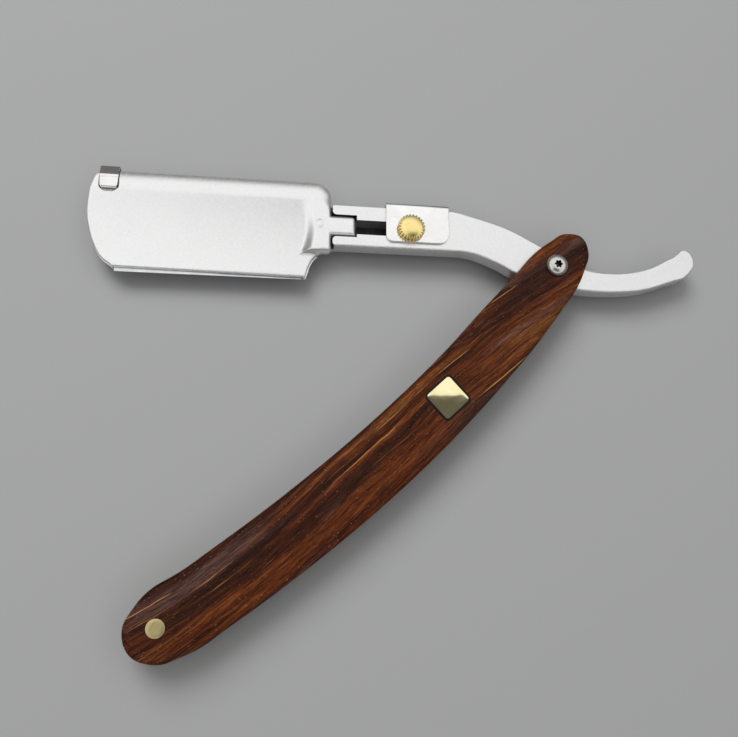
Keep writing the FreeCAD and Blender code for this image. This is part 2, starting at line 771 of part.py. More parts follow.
# ------------------------------------------------------------------ cover plate
def make_cover():
    body = new_body("cover_plate")
    outline = new_sketch(body, "cover_outline", level=COVER_BACK)
    low = float(length("tongue_low"))
    high = float(length("tongue_high"))
    tip = ROOT_X + float(length("tongue_long"))
    trace(outline, LIP_NOSE, [
        ("line", (LIP_ROOT_X - 0.3, LIP_ROOT[1])),
        ("curve", (0.3, 0.95), (1, 0), (LIP_ROOT_X + 0.5, -2.0), (LIP_ROOT_X + 2.2, 0.9),
         (LIP_ROOT_X + 4.2, 2.0)),
        ("line", (ROOT_X - 1.0, 2.0)),
        ("arc", (ROOT_X - 0.29, 2.29), (ROOT_X, 3.0)),
        ("line", (ROOT_X, low)),
        ("line", (tip, low)),
        ("line", (tip, high - 1.0)),
        ("arc", (tip - 0.29, high - 0.29), (tip - 1.0, high)),
        ("line", (ROOT_X, high)),
        ("line", (ROOT_X, SPINE_Y - 4.4)),
        *shoulder_steps(),
        *nose_steps(LIP_NOSE),
    ])
    pad(body, outline, "cover_sheet", "cover_thick")
    zone = new_sketch(body, "zone_outline", level=TANG_FRONT)
    draw_zone(zone)
    pocket(body, zone, "zone", "zone_deep")
    thin_lips(body, "front_lip", 1, float(TANG_FRONT - "zone_deep"), float(COVER_BACK + "lip_thick"))

    def spine_edge(edge):
        point = middle(edge)
        return at_level(edge, TANG_FRONT) and point.y > SPINE_Y - 2.5

    round_edges(body, "front_spine", "spine_round", spine_edge)

    def zone_edge(edge):
        point = middle(edge)
        along_band = abs(point.y - BAND_Y) < 0.6 and point.x < ROOT_X - 6
        along_root = abs(point.x - (ROOT_X - 6)) < 1.6 and 2.4 < point.y < 15.8
        return at_level(edge, TANG_FRONT) and (along_band or along_root)

    round_edges(body, "zone_edge", 0.5, zone_edge)

    relief = new_sketch(body, "lip_relief_outline", level=COVER_BACK)
    trace(relief, *rectangle_steps((NOSE_X - 1, -8), (ROOT_X, -1.5)))
    pocket(body, relief, "lip_relief", 0.2, upward=True)

    seat = new_sketch(body, "clip_seat_outline", level=TANG_FRONT)
    radius = float(length("clip_wide")) / 2 + float(length("clip_side_room"))
    left = CLIP_X - radius
    right = CLIP_X + radius
    foot = clip_foot() - 0.25
    trace(seat, (left, foot + radius), [
        ("arc", ((left + right) / 2, foot), (right, foot + radius)),
        ("line", (right, SPINE_Y + 2)),
        ("line", (left, SPINE_Y + 2)),
        ("line", (left, foot + radius)),
    ])
    pocket(body, seat, "clip_seat", "clip_seat_deep")
    bore = length("root_pin_radius") + "press_gap"
    hole(body, "cover_pin_hole", root_pin_place(), bore, TANG_FRONT, "cover_thick")
    dowel = new_sketch(body, "cover_dowel_circle", level=COVER_BACK)
    circle(dowel, dowel_place(), length("dowel_radius") + "pin_play")
    pocket(body, dowel, "cover_dowel_hole", length("dowel_out") + "plate_gap", upward=True)


# ------------------------------------------------------------------ nose clip
def clip_foot():
    return SPINE_Y - float(length("clip_leg"))


def make_clip():
    """U-shaped sheet clip over the spine at the nose, with a rivet through its back leg."""
    thick = float(length("clip_thick"))
    wide = float(length("clip_wide"))
    start = CLIP_X - wide / 2
    body = new_body("nose_clip")
    profile = new_sketch(body, "clip_profile", "YZ_Plane", level=start)
    front = float(TANG_FRONT) + 0.1
    back = float(TANG_BACK)
    foot = clip_foot()
    crest = SPINE_Y + 0.65
    bend = SPINE_Y - 0.6
    outer = [
        (foot, front + thick - 0.1), (foot + 0.6, front + thick), (bend, front + thick),
        (crest + thick, front - 0.75), (crest + thick, back + 0.75), (bend, back - thick),
        (foot + 0.4, back - thick),
    ]
    inner = [
        (foot + 0.4, back), (bend - 0.1, back), (crest, back + 0.9), (crest, front - 0.9),
        (bend - 0.1, front), (foot + 0.6, front), (foot, front - 0.1),
    ]
    points = outer + inner
    trace(profile, points[0], [("line", point) for point in points[1:] + points[:1]])
    pad(body, profile, "clip_strip", "clip_wide")

    def foot_corner(edge):
        point = middle(edge)
        upright = abs(edge.Vertexes[0].X - edge.Vertexes[-1].X) < 1e-6
        return upright and edge.Length < thick * 1.3 and point.y < foot + 0.5

    round_edges(body, "clip_feet", wide / 2 - 0.05, foot_corner)
    rivet_bore = new_sketch(body, "clip_rivet_circle", level=TANG_BACK)
    circle(rivet_bore, rivet_place(), length("rivet_radius") + "press_gap")
    pocket(body, rivet_bore, "clip_rivet_hole", "clip_thick")

    rivet = new_body("clip_rivet", flat(rivet_place()))
    shank = float(length("rivet_radius"))
    head = shank + float(length("rivet_head"))
    seat = back - thick
    tip = back + float(length("rivet_deep"))
    revolve(rivet, "rivet_turned", [
        (0, seat - 0.4), (head - 0.3, seat - 0.4), (head, seat - 0.15), (head, seat), (shank, seat),
        (shank, tip), (0, tip),
    ])


# ------------------------------------------------------------------ lock
def knob_centre():
    return (ROOT_X + float(length("knob_inset")), float(length("slot_centre")))


def make_saddle():
    """Sheet saddle folded over the arm's upper edge."""
    thick = float(length("saddle_thick"))
    gap = float(length("saddle_gap"))
    body = new_body("lock_saddle")
    start = ROOT_X + float(length("saddle_inset")) - float(length("saddle_long")) / 2
    profile = new_sketch(body, "saddle_profile", "YZ_Plane", level=start)
    front = float(TANG_FRONT) + gap
    back = float(TANG_BACK) - gap
    top = TOP_Y + gap + 0.5
    foot = float(length("saddle_foot"))
    back_foot = float(length("saddle_back_foot"))
    bend = 0.9
    inner_bend = bend - thick * 0.4
    cut = bend * (1 - math.sqrt(0.5))
    inner_cut = inner_bend * (1 - math.sqrt(0.5))
    trace(profile, (foot, front), [
        ("line", (foot, front + thick)),
        ("line", (top + thick - bend, front + thick)),
        ("arc", (top + thick - cut, front + thick - cut), (top + thick, front + thick - bend)),
        ("line", (top + thick, back - thick + bend)),
        ("arc", (top + thick - cut, back - thick + cut), (top + thick - bend, back - thick)),
        ("line", (back_foot, back - thick)),
        ("line", (back_foot, back)),
        ("line", (top - inner_bend, back)),
        ("arc", (top - inner_cut, back + inner_cut), (top, back + inner_bend)),
        ("line", (top, front - inner_bend)),
        ("arc", (top - inner_cut, front - inner_cut), (top - inner_bend, front)),
        ("line", (foot, front)),
    ])
    pad(body, profile, "saddle_sheet", "saddle_long")

    def foot_corner(side_x):
        def test(edge):
            point = middle(edge)
            upright = abs(edge.Length - thick) < 1e-4
            return upright and abs(point.y - foot) < 1e-4 and abs(point.x - side_x) < 1e-4
        return test

    round_edges(body, "saddle_corner_nose", 2.0, foot_corner(start))
    round_edges(body, "saddle_corner_pivot", 3.0, foot_corner(start + float(length("saddle_long"))))
    stud = length("knob_stud_radius") + "running_gap"
    hole(body, "saddle_stud_hole", knob_centre(), stud, TANG_FRONT + "saddle_gap" + "saddle_thick",
         length("saddle_thick") + 0.2)


def make_block():
    """Guide block that keeps the lock square in the slot."""
    body = new_body("guide_block")
    x, y = knob_centre()
    half_long = float(length("block_long")) / 2
    half_wide = float(length("slot_width")) / 2 - float(length("running_gap"))
    sketch = new_sketch(body, "block_outline", level=TANG_BACK + 0.1)
    cut = 1.0
    trace(sketch, (x - half_long, y - half_wide), [
        ("line", (x + half_long - cut, y - half_wide)),
        ("line", (x + half_long, y - half_wide + cut)),
        ("line", (x + half_long, y + half_wide - cut)),
        ("line", (x + half_long - cut, y + half_wide)),
        ("line", (x - half_long, y + half_wide)),
        ("line", (x - half_long, y - half_wide)),
    ])
    pad(body, sketch, "block_body", length("tang_thick") - 0.15)
    hole(body, "block_bore", (x, y), length("knob_stud_radius") + "running_gap",
         TANG_FRONT, "tang_thick")


def make_bar():
    """Clamp bar behind the slot; the knob's stud screws into it."""
    body = new_body("clamp_bar")
    x, y = knob_centre()
    wide = float(length("bar_wide"))
    left = ROOT_X + float(length("tongue_long"))
    right = x + 8.4
    half = wide / 2
    top = TANG_BACK - 0.1
    sketch = new_sketch(body, "bar_outline", level=top - "bar_thick")
    trace(sketch, (left + half, y - half), [
        ("line", (right - half, y - half)),
        ("arc", (right, y), (right - half, y + half)),
        ("line", (left + half, y + half)),
        ("arc", (left, y), (left + half, y - half)),
    ])
    pad(body, sketch, "bar_strip", "bar_thick")
    line = new_sketch(body, "bar_line_outline", level=top)
    trace(line, *rectangle_steps((left + half, y - 0.15), (x - 3.0, y + 0.15)))
    pocket(body, line, "bar_line", 0.25)
    hole(body, "bar_thread", (x, y), length("knob_stud_radius") + "press_gap", top, "bar_thick")


def make_knob():
    """Knurled thumb knob with its stud."""
    x, y = knob_centre()
    body = new_body("lock_knob", Vector(x, y, 0))
    radius = float(length("knob_radius"))
    high = float(length("knob_high"))
    stud = float(length("knob_stud_radius"))
    seat = float(TANG_FRONT + "saddle_gap" + "saddle_thick") + float(length("face_gap"))
    tip = float(TANG_BACK) - 0.1 - float(length("bar_thick"))
    top = seat + high
    revolve(body, "knob_turned", [
        (0, tip), (stud - 0.2, tip), (stud, tip + 0.2), (stud, seat), (radius - 0.25, seat),
        (radius, seat + 0.25), (radius, top - 0.55), (radius - 0.35, top - 0.25),
        (radius - 1.3, top - 0.05), (0, top),
    ])
    groove = new_sketch(body, "knurl_outline", level=top)
    half = radius * math.sin(math.pi / KNURLS) * 0.5
    trace(groove, (radius - 0.28, 0), [
        ("line", (radius + 0.1, -half * 1.3)),
        ("line", (radius + 0.1, half * 1.3)),
        ("line", (radius - 0.28, 0)),
    ])
    cut = pocket(body, groove, "knurl", "knob_high")
    before = body.Shape.Volume
    pattern = body.newObject("PartDesign::PolarPattern", "knurls")
    pattern.Originals = [cut]
    pattern.Axis = (groove, ["N_Axis"])
    pattern.Angle = 360
    pattern.Occurrences = KNURLS
    settle(body, pattern)
    if body.Shape.Volume > before - 1e-6:
        raise RuntimeError("knurls cut nothing")


# ------------------------------------------------------------------ checks and files
def check(parts):
    for item in DOC.Objects:
        if "Invalid" in item.State or "Error" in item.State:
            raise RuntimeError(f"{item.Label}: {item.State}")
    for part in parts:
        if part.Shape.isNull() or not part.Shape.isValid() or not part.Shape.Solids:
            raise RuntimeError(f"{part.Label} has no valid solid")


def sub_parts():
    bodies = [item for item in DOC.Objects if item.TypeId == "PartDesign::Body"]
    cylinders = [item for item in DOC.Objects if item.TypeId == "Part::Cylinder"]
    return bodies + cylinders


make_scales()
make_spacer()
make_end_pin()
make_inlay()
make_pivot()
make_tang()
make_dowels()
make_blade()
make_cover()
make_clip()
make_saddle()
make_block()
make_bar()
make_knob()
DOC.recompute()
PARTS = sub_parts()
check(PARTS)
os.makedirs("parts", exist_ok=True)
for part in PARTS:
    part.Shape.exportStep(f"parts/{part.Label}.step")
    box = part.Shape.BoundBox
    print(f"{part.Label:14s} solids {len(part.Shape.Solids)} volume {part.Shape.Volume:9.2f}  "
          f"x {box.XMin:8.2f} {box.XMax:8.2f}  y {box.YMin:8.2f} {box.YMax:8.2f}  "
          f"z {box.ZMin:6.2f} {box.ZMax:6.2f}")
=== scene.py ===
import math

import bmesh
import bpy
from mathutils import Matrix, Vector
from mathutils.kdtree import KDTree


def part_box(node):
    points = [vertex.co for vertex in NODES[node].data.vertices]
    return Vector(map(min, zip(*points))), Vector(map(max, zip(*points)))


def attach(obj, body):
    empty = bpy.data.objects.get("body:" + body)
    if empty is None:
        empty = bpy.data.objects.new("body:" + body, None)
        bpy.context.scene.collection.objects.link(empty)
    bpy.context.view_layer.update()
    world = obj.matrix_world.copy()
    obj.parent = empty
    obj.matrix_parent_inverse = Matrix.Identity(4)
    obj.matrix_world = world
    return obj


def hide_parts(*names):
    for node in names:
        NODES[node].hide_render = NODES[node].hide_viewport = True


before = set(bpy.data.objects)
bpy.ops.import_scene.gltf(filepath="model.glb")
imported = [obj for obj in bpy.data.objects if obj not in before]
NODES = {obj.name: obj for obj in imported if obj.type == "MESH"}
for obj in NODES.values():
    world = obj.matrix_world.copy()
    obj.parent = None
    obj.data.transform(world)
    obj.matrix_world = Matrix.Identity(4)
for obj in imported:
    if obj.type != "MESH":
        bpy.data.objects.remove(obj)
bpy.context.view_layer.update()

# Folding barber's razor lying open on one scale.  Metres; lengths below are written in
# millimetres and multiplied by MM.  Origin: pivot axis at the resting face, +X towards the
# tail, +Y towards the spine, +Z up through both scales.

MM = 0.001
HANDLE_ANGLE = math.radians(222.5)


# ------------------------------------------------------------------ node helpers
def add(tree, kind, inputs=None, **settings):
    """Add a shader node, set its properties, and set or link its inputs."""
    made = tree.nodes.new("ShaderNode" + kind)
    for name, value in settings.items():
        setattr(made, name, value)
    for name, value in (inputs or {}).items():
        socket = made.inputs[name]
        if isinstance(value, bpy.types.NodeSocket):
            tree.links.new(value, socket)
        else:
            socket.default_value = value
    return made


def calculate(tree, operation, first, second=0.0, clamp=False):
    """One arithmetic step; returns its value."""
    step = add(tree, "Math", {0: first, 1: second}, operation=operation, use_clamp=clamp)
    return step.outputs[0]


def between(tree, value, low, high, out_low=0.0, out_high=1.0):
    """Spread a value smoothly from one range to another."""
    spread = add(tree, "MapRange", {"Value": value, "From Min": low, "From Max": high,
                                    "To Min": out_low, "To Max": out_high},
                 interpolation_type="SMOOTHSTEP")
    return spread.outputs["Result"]


def noise(tree, vector, scale, detail=2.0, roughness=0.5):
    made = add(tree, "TexNoise", {"Vector": vector, "Scale": scale, "Detail": detail,
                                  "Roughness": roughness})
    return made.outputs["Fac"]


def stretched(tree, vector, x, y, z, shift=(0.0, 0.0, 0.0)):
    """Coordinates scaled by a different factor on each axis."""
    made = add(tree, "Mapping", {"Vector": vector, "Scale": (x, y, z), "Location": shift})
    return made.outputs["Vector"]


def mixed(tree, factor, first, second, blend="MIX"):
    """Mix two colours."""
    made = add(tree, "Mix", data_type="RGBA", blend_type=blend)
    factor_in, first_in, second_in = made.inputs[0], made.inputs[6], made.inputs[7]
    for socket, value in ((factor_in, factor), (first_in, first), (second_in, second)):
        if isinstance(value, bpy.types.NodeSocket):
            tree.links.new(value, socket)
        else:
            socket.default_value = value
    return made.outputs[2]


def colour(red, green, blue):
    return (red, green, blue, 1.0)


def ramp(tree, value, stops):
    """A colour ramp from (place, colour) pairs."""
    made = add(tree, "ValToRGB", {"Fac": value})
    elements = made.color_ramp.elements
    while len(elements) < len(stops):
        elements.new(0.5)
    for element, (place, tone) in zip(elements, stops):
        element.position = place
        element.color = tone
    return made.outputs["Color"]


def new_group(name, inputs, outputs):
    """An empty node group with named sockets; returns its tree, its inputs and its output node."""
    tree = bpy.data.node_groups.new(name, "ShaderNodeTree")
    for label, kind, value in inputs:
        socket = tree.interface.new_socket(name=label, in_out="INPUT", socket_type=kind)
        if value is not None:
            socket.default_value = value
    for label, kind in outputs:
        tree.interface.new_socket(name=label, in_out="OUTPUT", socket_type=kind)
    entry = tree.nodes.new("NodeGroupInput")
    leave = tree.nodes.new("NodeGroupOutput")
    return tree, entry.outputs, leave


def put_out(tree, leave, **values):
    for label, value in values.items():
        tree.links.new(value, leave.inputs[label])


def use_group(tree, group, **inputs):
    made = tree.nodes.new("ShaderNodeGroup")
    made.node_tree = group
    for label, value in inputs.items():
        if isinstance(value, bpy.types.NodeSocket):
            tree.links.new(value, made.inputs[label])
        else:
            made.inputs[label].default_value = value
    return made.outputs


# ------------------------------------------------------------------ shared effects
def make_blasting():
    """Fine sprayed or blasted grain: a height, and sparse flecks."""
    tree, given, leave = new_group(
        "blasted_grain",
        [("Vector", "NodeSocketVector", None), ("Grain", "NodeSocketFloat", 2600.0)],
        [("Height", "NodeSocketFloat"), ("Fleck", "NodeSocketFloat"), ("Cloud", "NodeSocketFloat")],
    )
    fine = noise(tree, given["Vector"], given["Grain"], 3.0, 0.62)
    coarse = noise(tree, given["Vector"], calculate(tree, "MULTIPLY", given["Grain"], 0.33), 2.0)
    height = calculate(tree, "ADD", fine, calculate(tree, "MULTIPLY", coarse, 0.7))
    spots = noise(tree, given["Vector"], calculate(tree, "MULTIPLY", given["Grain"], 0.5), 1.0)
    fleck = between(tree, spots, 0.66, 0.74)
    cloud = noise(tree, given["Vector"], calculate(tree, "MULTIPLY", given["Grain"], 0.035), 3.0)
    put_out(tree, leave, Height=height, Fleck=fleck, Cloud=cloud)
    return tree


def make_brushing():
    """Straight polishing lines along X of the given coordinates, and stray scratches."""
    tree, given, leave = new_group(
        "polishing_lines",
        [("Vector", "NodeSocketVector", None), ("Fineness", "NodeSocketFloat", 9000.0)],
        [("Height", "NodeSocketFloat"), ("Scratch", "NodeSocketFloat"),
         ("Cloud", "NodeSocketFloat")],
    )
    drawn = stretched(tree, given["Vector"], 0.03, 1.0, 1.0)
    lines = noise(tree, drawn, given["Fineness"], 3.0, 0.6)
    turned = add(tree, "Mapping", {"Vector": given["Vector"], "Rotation": (0.0, 0.0, 0.5),
                                   "Scale": (0.05, 1.0, 1.0)})
    coarse = calculate(tree, "MULTIPLY", given["Fineness"], 0.2)
    stray = noise(tree, turned.outputs["Vector"], coarse, 1.0)
    scratch = between(tree, stray, 0.69, 0.74)
    cloud = noise(tree, given["Vector"], calculate(tree, "MULTIPLY", given["Fineness"], 0.02), 2.0)
    put_out(tree, leave, Height=lines, Scratch=scratch, Cloud=cloud)
    return tree


def make_figure():
    """Rosewood figure.  Coordinates in millimetres, X along the grain."""
    tree, given, leave = new_group(
        "rosewood_figure",
        [("Vector", "NodeSocketVector", None)],
        [("Color", "NodeSocketColor"), ("Height", "NodeSocketFloat"), ("Gloss", "NodeSocketFloat")],
    )
    split = add(tree, "SeparateXYZ", {"Vector": given["Vector"]})
    along = split.outputs["X"]
    # The growth lines run off the board's line near the pivot and again near the far end.
    turn = calculate(tree, "MULTIPLY", along, 0.0449)
    swing = calculate(tree, "MULTIPLY", calculate(tree, "SINE", turn), 2.2)
    drift = calculate(tree, "ADD", calculate(tree, "MULTIPLY", along, 0.055), swing)
    wander = noise(tree, stretched(tree, given["Vector"], 0.022, 0.05, 0.05), 1.0, 2.0)
    wander = calculate(tree, "MULTIPLY", calculate(tree, "SUBTRACT", wander, 0.5), 4.0)
    ripple = noise(tree, stretched(tree, given["Vector"], 0.16, 0.22, 0.22), 1.0, 2.0)
    ripple = calculate(tree, "MULTIPLY", calculate(tree, "SUBTRACT", ripple, 0.5), 0.55)
    across = calculate(tree, "ADD", split.outputs["Y"], drift)
    across = calculate(tree, "ADD", across, calculate(tree, "ADD", wander, ripple))
    joined = add(tree, "CombineXYZ", {"X": along, "Y": across, "Z": split.outputs["Z"]})
    grain = joined.outputs["Vector"]

    bands = noise(tree, stretched(tree, grain, 0.012, 0.30, 0.12), 1.0, 3.0, 0.55)
    base = ramp(tree, bands, [
        (0.30, colour(0.019, 0.0058, 0.0024)),
        (0.42, colour(0.039, 0.0094, 0.0028)),
        (0.52, colour(0.088, 0.0190, 0.0040)),
        (0.62, colour(0.130, 0.0370, 0.0070)),
        (0.74, colour(0.178, 0.0660, 0.0170)),
    ])
    streaks = noise(tree, stretched(tree, grain, 0.022, 1.15, 0.5, (3.0, 7.0, 1.0)), 1.0, 4.0, 0.62)
    dark = between(tree, streaks, 0.49, 0.33)
    base = mixed(tree, calculate(tree, "MULTIPLY", dark, 0.80), base, colour(0.012, 0.0045, 0.0030))
    warm = between(tree, streaks, 0.55, 0.72)
    base = mixed(tree, calculate(tree, "MULTIPLY", warm, 0.50), base, colour(0.26, 0.080, 0.024))
    patches = noise(tree, stretched(tree, grain, 0.016, 0.16, 0.1, (9.0, 2.0, 4.0)), 1.0, 2.0)
    dusk = between(tree, patches, 0.54, 0.70)
    base = mixed(tree, calculate(tree, "MULTIPLY", dusk, 0.50), base, colour(0.125, 0.066, 0.052))

    fibres = noise(tree, stretched(tree, grain, 0.14, 6.5, 4.0), 1.0, 3.0, 0.7)
    tone = between(tree, fibres, 0.28, 0.72, 0.30, 1.75)
    hairs = noise(tree, stretched(tree, grain, 0.30, 3.1, 2.0, (4.0, 9.0, 2.0)), 1.0, 4.0, 0.75)
    tone = calculate(tree, "MULTIPLY", tone, between(tree, hairs, 0.32, 0.62, 0.45, 1.25))
    tinted = add(tree, "CombineColor", {"Red": tone, "Green": tone, "Blue": tone})
    base = mixed(tree, 1.0, base, tinted.outputs["Color"], "MULTIPLY")

    # A few long, thin, golden growth lines that come and go.
    uneven = noise(tree, stretched(tree, grain, 0.006, 0.20, 0.10, (5.0, 3.3, 0.0)), 1.0, 1.0)
    field = calculate(tree, "ADD", calculate(tree, "MULTIPLY", across, 0.36),
                      calculate(tree, "MULTIPLY", uneven, 1.1))
    folded = calculate(tree, "FRACT", calculate(tree, "ADD", field, 20.3))
    away = calculate(tree, "ABSOLUTE", calculate(tree, "SUBTRACT", folded, 0.5))
    line = between(tree, away, 0.050, 0.008)
    stretches = noise(tree, stretched(tree, grain, 0.042, 0.33, 0.2, (1.0, 8.0, 2.0)), 1.0, 2.0)
    shown = between(tree, stretches, 0.53, 0.66)
    gold = calculate(tree, "MULTIPLY", line, shown)
    base = mixed(tree, calculate(tree, "MULTIPLY", gold, 0.85), base, colour(0.58, 0.27, 0.075))

    pores = noise(tree, stretched(tree, grain, 0.9, 8.0, 8.0, (2.0, 5.0, 3.0)), 1.0, 1.0)
    pore = between(tree, pores, 0.66, 0.73)
    base = mixed(tree, calculate(tree, "MULTIPLY", pore, 0.85), base, colour(0.010, 0.0035, 0.003))
    chalk = noise(tree, stretched(tree, grain, 1.6, 5.0, 5.0, (8.0, 1.0, 6.0)), 1.0, 0.0)
    chalk = between(tree, chalk, 0.775, 0.82)
    base = mixed(tree, calculate(tree, "MULTIPLY", chalk, 0.5), base, colour(0.45, 0.24, 0.14))

    height = calculate(tree, "SUBTRACT", calculate(tree, "MULTIPLY", fibres, 0.4), pore)
    gloss = calculate(tree, "ADD", calculate(tree, "MULTIPLY", fibres, 0.16), 0.30)
    gloss = calculate(tree, "ADD", gloss, calculate(tree, "MULTIPLY", pore, 0.25), clamp=True)
    put_out(tree, leave, Color=base, Height=height, Gloss=gloss)
    return tree


BLASTING = make_blasting()
POLISHING = make_brushing()
FIGURE = make_figure()


# ------------------------------------------------------------------ materials
def new_material(name):
    """A material with its Principled shader; returns the material, its tree and the shader."""
    made = bpy.data.materials.new(name)
    made.use_nodes = True
    tree = made.node_tree
    return made, tree, tree.nodes["Principled BSDF"]


def set_sockets(shader, **values):
    for name, value in values.items():
        shader.inputs[name.replace("_", " ")].default_value = value


def object_coordinates(tree):
    return add(tree, "TexCoord").outputs["Object"]


def bump(tree, shader, height, distance, strength=1.0):
    made = add(tree, "Bump", {"Height": height, "Distance": distance * MM, "Strength": strength})
    tree.links.new(made.outputs["Normal"], shader.inputs["Normal"])


def make_rosewood(name, shift):
    """Satin oiled rosewood; the grain lies along the handle."""
    made, tree, shader = new_material(name)
    turned = add(tree, "Mapping", {"Vector": object_coordinates(tree), "Location": shift,
                                   "Rotation": (0.0, 0.0, HANDLE_ANGLE), "Scale": (MM, MM, MM)},
                 vector_type="TEXTURE")
    figure = use_group(tree, FIGURE, Vector=turned.outputs["Vector"])
    tree.links.new(figure["Color"], shader.inputs["Base Color"])
    tree.links.new(figure["Gloss"], shader.inputs["Roughness"])
    set_sockets(shader, Specular_IOR_Level=0.12)
    bump(tree, shader, figure["Height"], 0.035)
    return made


def make_silver_paint():
    """Satin silver paint over fine blasting, with a few small dark nicks."""
    made, tree, shader = new_material("satin_silver_paint")
    spot = use_group(tree, BLASTING, Vector=object_coordinates(tree), Grain=3000.0)
    body = ramp(tree, spot["Cloud"], [
        (0.30, colour(0.87, 0.872, 0.872)),
        (0.70, colour(0.89, 0.89, 0.888)),
    ])
    nick = calculate(tree, "MULTIPLY", spot["Fleck"], 0.10)
    flecked = mixed(tree, nick, body, colour(0.50, 0.50, 0.51))
    shade = between(tree, spot["Height"], 0.60, 1.10, 0.93, 1.05)
    grey = add(tree, "CombineColor", {"Red": shade, "Green": shade, "Blue": shade})
    flecked = mixed(tree, 1.0, flecked, grey.outputs["Color"], "MULTIPLY")
    tree.links.new(flecked, shader.inputs["Base Color"])
    rough = between(tree, spot["Height"], 0.55, 1.15, 0.28, 0.42)
    tree.links.new(rough, shader.inputs["Roughness"])
    set_sockets(shader, Metallic=0.92)
    bump(tree, shader, spot["Height"], 0.016)
    return made


def make_metal(name, low, high, rough_low, rough_high, fineness, angle, line_depth, scratch_tone):
    """Polished or brushed metal: lines along one direction, soft tarnish, stray scratches."""
    made, tree, shader = new_material(name)
    turned = add(tree, "Mapping", {"Vector": object_coordinates(tree),
                                   "Rotation": (0.0, 0.0, -angle)})
    worn = use_group(tree, POLISHING, Vector=turned.outputs["Vector"], Fineness=fineness)
    body = ramp(tree, worn["Cloud"], [(0.30, low), (0.70, high)])
    body = mixed(tree, calculate(tree, "MULTIPLY", worn["Scratch"], 0.35), body, scratch_tone)
    tree.links.new(body, shader.inputs["Base Color"])
    rough = between(tree, worn["Height"], 0.3, 0.7, rough_low, rough_high)
    tree.links.new(rough, shader.inputs["Roughness"])
    set_sockets(shader, Metallic=1.0)
    bump(tree, shader, worn["Height"], line_depth)
    return made


def make_dark(name, low, high, roughness, metallic):
    """Black polymer, black oxide or set glue, with a fine matt grain."""
    made, tree, shader = new_material(name)
    spot = use_group(tree, BLASTING, Vector=object_coordinates(tree), Grain=3200.0)
    body = ramp(tree, spot["Height"], [(0.3, low), (1.0, high)])
    tree.links.new(body, shader.inputs["Base Color"])
    rough = between(tree, spot["Cloud"], 0.3, 0.7, roughness - 0.06, roughness + 0.08)
    tree.links.new(rough, shader.inputs["Roughness"])
    set_sockets(shader, Metallic=metallic, Specular_IOR_Level=0.15)
    bump(tree, shader, spot["Height"], 0.006)
    return made


def make_mirror_brass():
    """Hand-polished brass: mirror bright, very slightly uneven."""
    made, tree, shader = new_material("mirror_brass")
    worn = use_group(tree, POLISHING, Vector=object_coordinates(tree), Fineness=15000.0)
    body = ramp(tree, worn["Cloud"], [
        (0.30, colour(0.84, 0.76, 0.42)),
        (0.70, colour(0.92, 0.85, 0.52)),
    ])
    tree.links.new(body, shader.inputs["Base Color"])
    tree.links.new(between(tree, worn["Height"], 0.3, 0.7, 0.015, 0.04), shader.inputs["Roughness"])
    set_sockets(shader, Metallic=1.0)
    wave = noise(tree, object_coordinates(tree), 230.0, 1.0)
    bump(tree, shader, wave, 0.010)
    return made


ROSEWOOD_FRONT = make_rosewood("rosewood_front", (0.0, 0.0, 0.0))
ROSEWOOD_BACK = make_rosewood("rosewood_back", (0.31, 0.12, 0.05))
ROSEWOOD_SPACER = make_rosewood("rosewood_spacer", (0.17, 0.40, 0.02))
SILVER_PAINT = make_silver_paint()
NICKEL = make_metal("bright_nickel", colour(0.76, 0.75, 0.74), colour(0.87, 0.865, 0.855),
                    0.10, 0.22, 9000.0, 0.0, 0.0006, colour(0.45, 0.44, 0.43))
STAINLESS = make_metal("polished_stainless", colour(0.55, 0.54, 0.51), colour(0.70, 0.69, 0.66),
                       0.16, 0.30, 12000.0, 0.8, 0.0008, colour(0.32, 0.31, 0.30))
BLADE_STEEL = make_metal("ground_blade_steel", colour(0.60, 0.61, 0.63), colour(0.72, 0.73, 0.75),
                         0.14, 0.28, 14000.0, 0.0, 0.0010, colour(0.35, 0.35, 0.36))
KNOB_BRASS = make_metal("turned_brass", colour(0.86, 0.68, 0.27), colour(0.95, 0.79, 0.36),
                        0.17, 0.28, 11000.0, 0.3, 0.0004, colour(0.50, 0.35, 0.12))
PIN_BRASS = make_metal("dull_brass", colour(0.50, 0.41, 0.19), colour(0.66, 0.56, 0.29),
                       0.30, 0.46, 9000.0, 1.1, 0.0018, colour(0.34, 0.27, 0.12))
MIRROR_BRASS = make_mirror_brass()
WASHER_BRASS = make_metal("washer_brass", colour(0.62, 0.46, 0.19), colour(0.74, 0.57, 0.26),
                          0.28, 0.42, 8000.0, 0.0, 0.0015, colour(0.42, 0.31, 0.13))
BLACK_POLYMER = make_dark("black_polymer", colour(0.010, 0.010, 0.011),
                          colour(0.022, 0.022, 0.024), 0.48, 0.0)
# Black oxide, also used as painted shade in the screw's socket and behind the arm's slot.
BLACK_OXIDE_AND_SHADE = make_dark("black_oxide_and_shade", colour(0.012, 0.012, 0.013),
                        colour(0.040, 0.040, 0.042), 0.40, 0.85)
# Bare steel of the tang's seat, made near-black as painted shade in the gap between the plates.
BARE_STEEL_AND_SHADE = make_dark("bare_seat_steel_and_shade", colour(0.020, 0.020, 0.021),
                       colour(0.050, 0.050, 0.052), 0.55, 0.6)
DARK_GLUE = make_dark("dark_glue", colour(0.004, 0.003, 0.003),
                      colour(0.010, 0.007, 0.006), 0.35, 0.0)


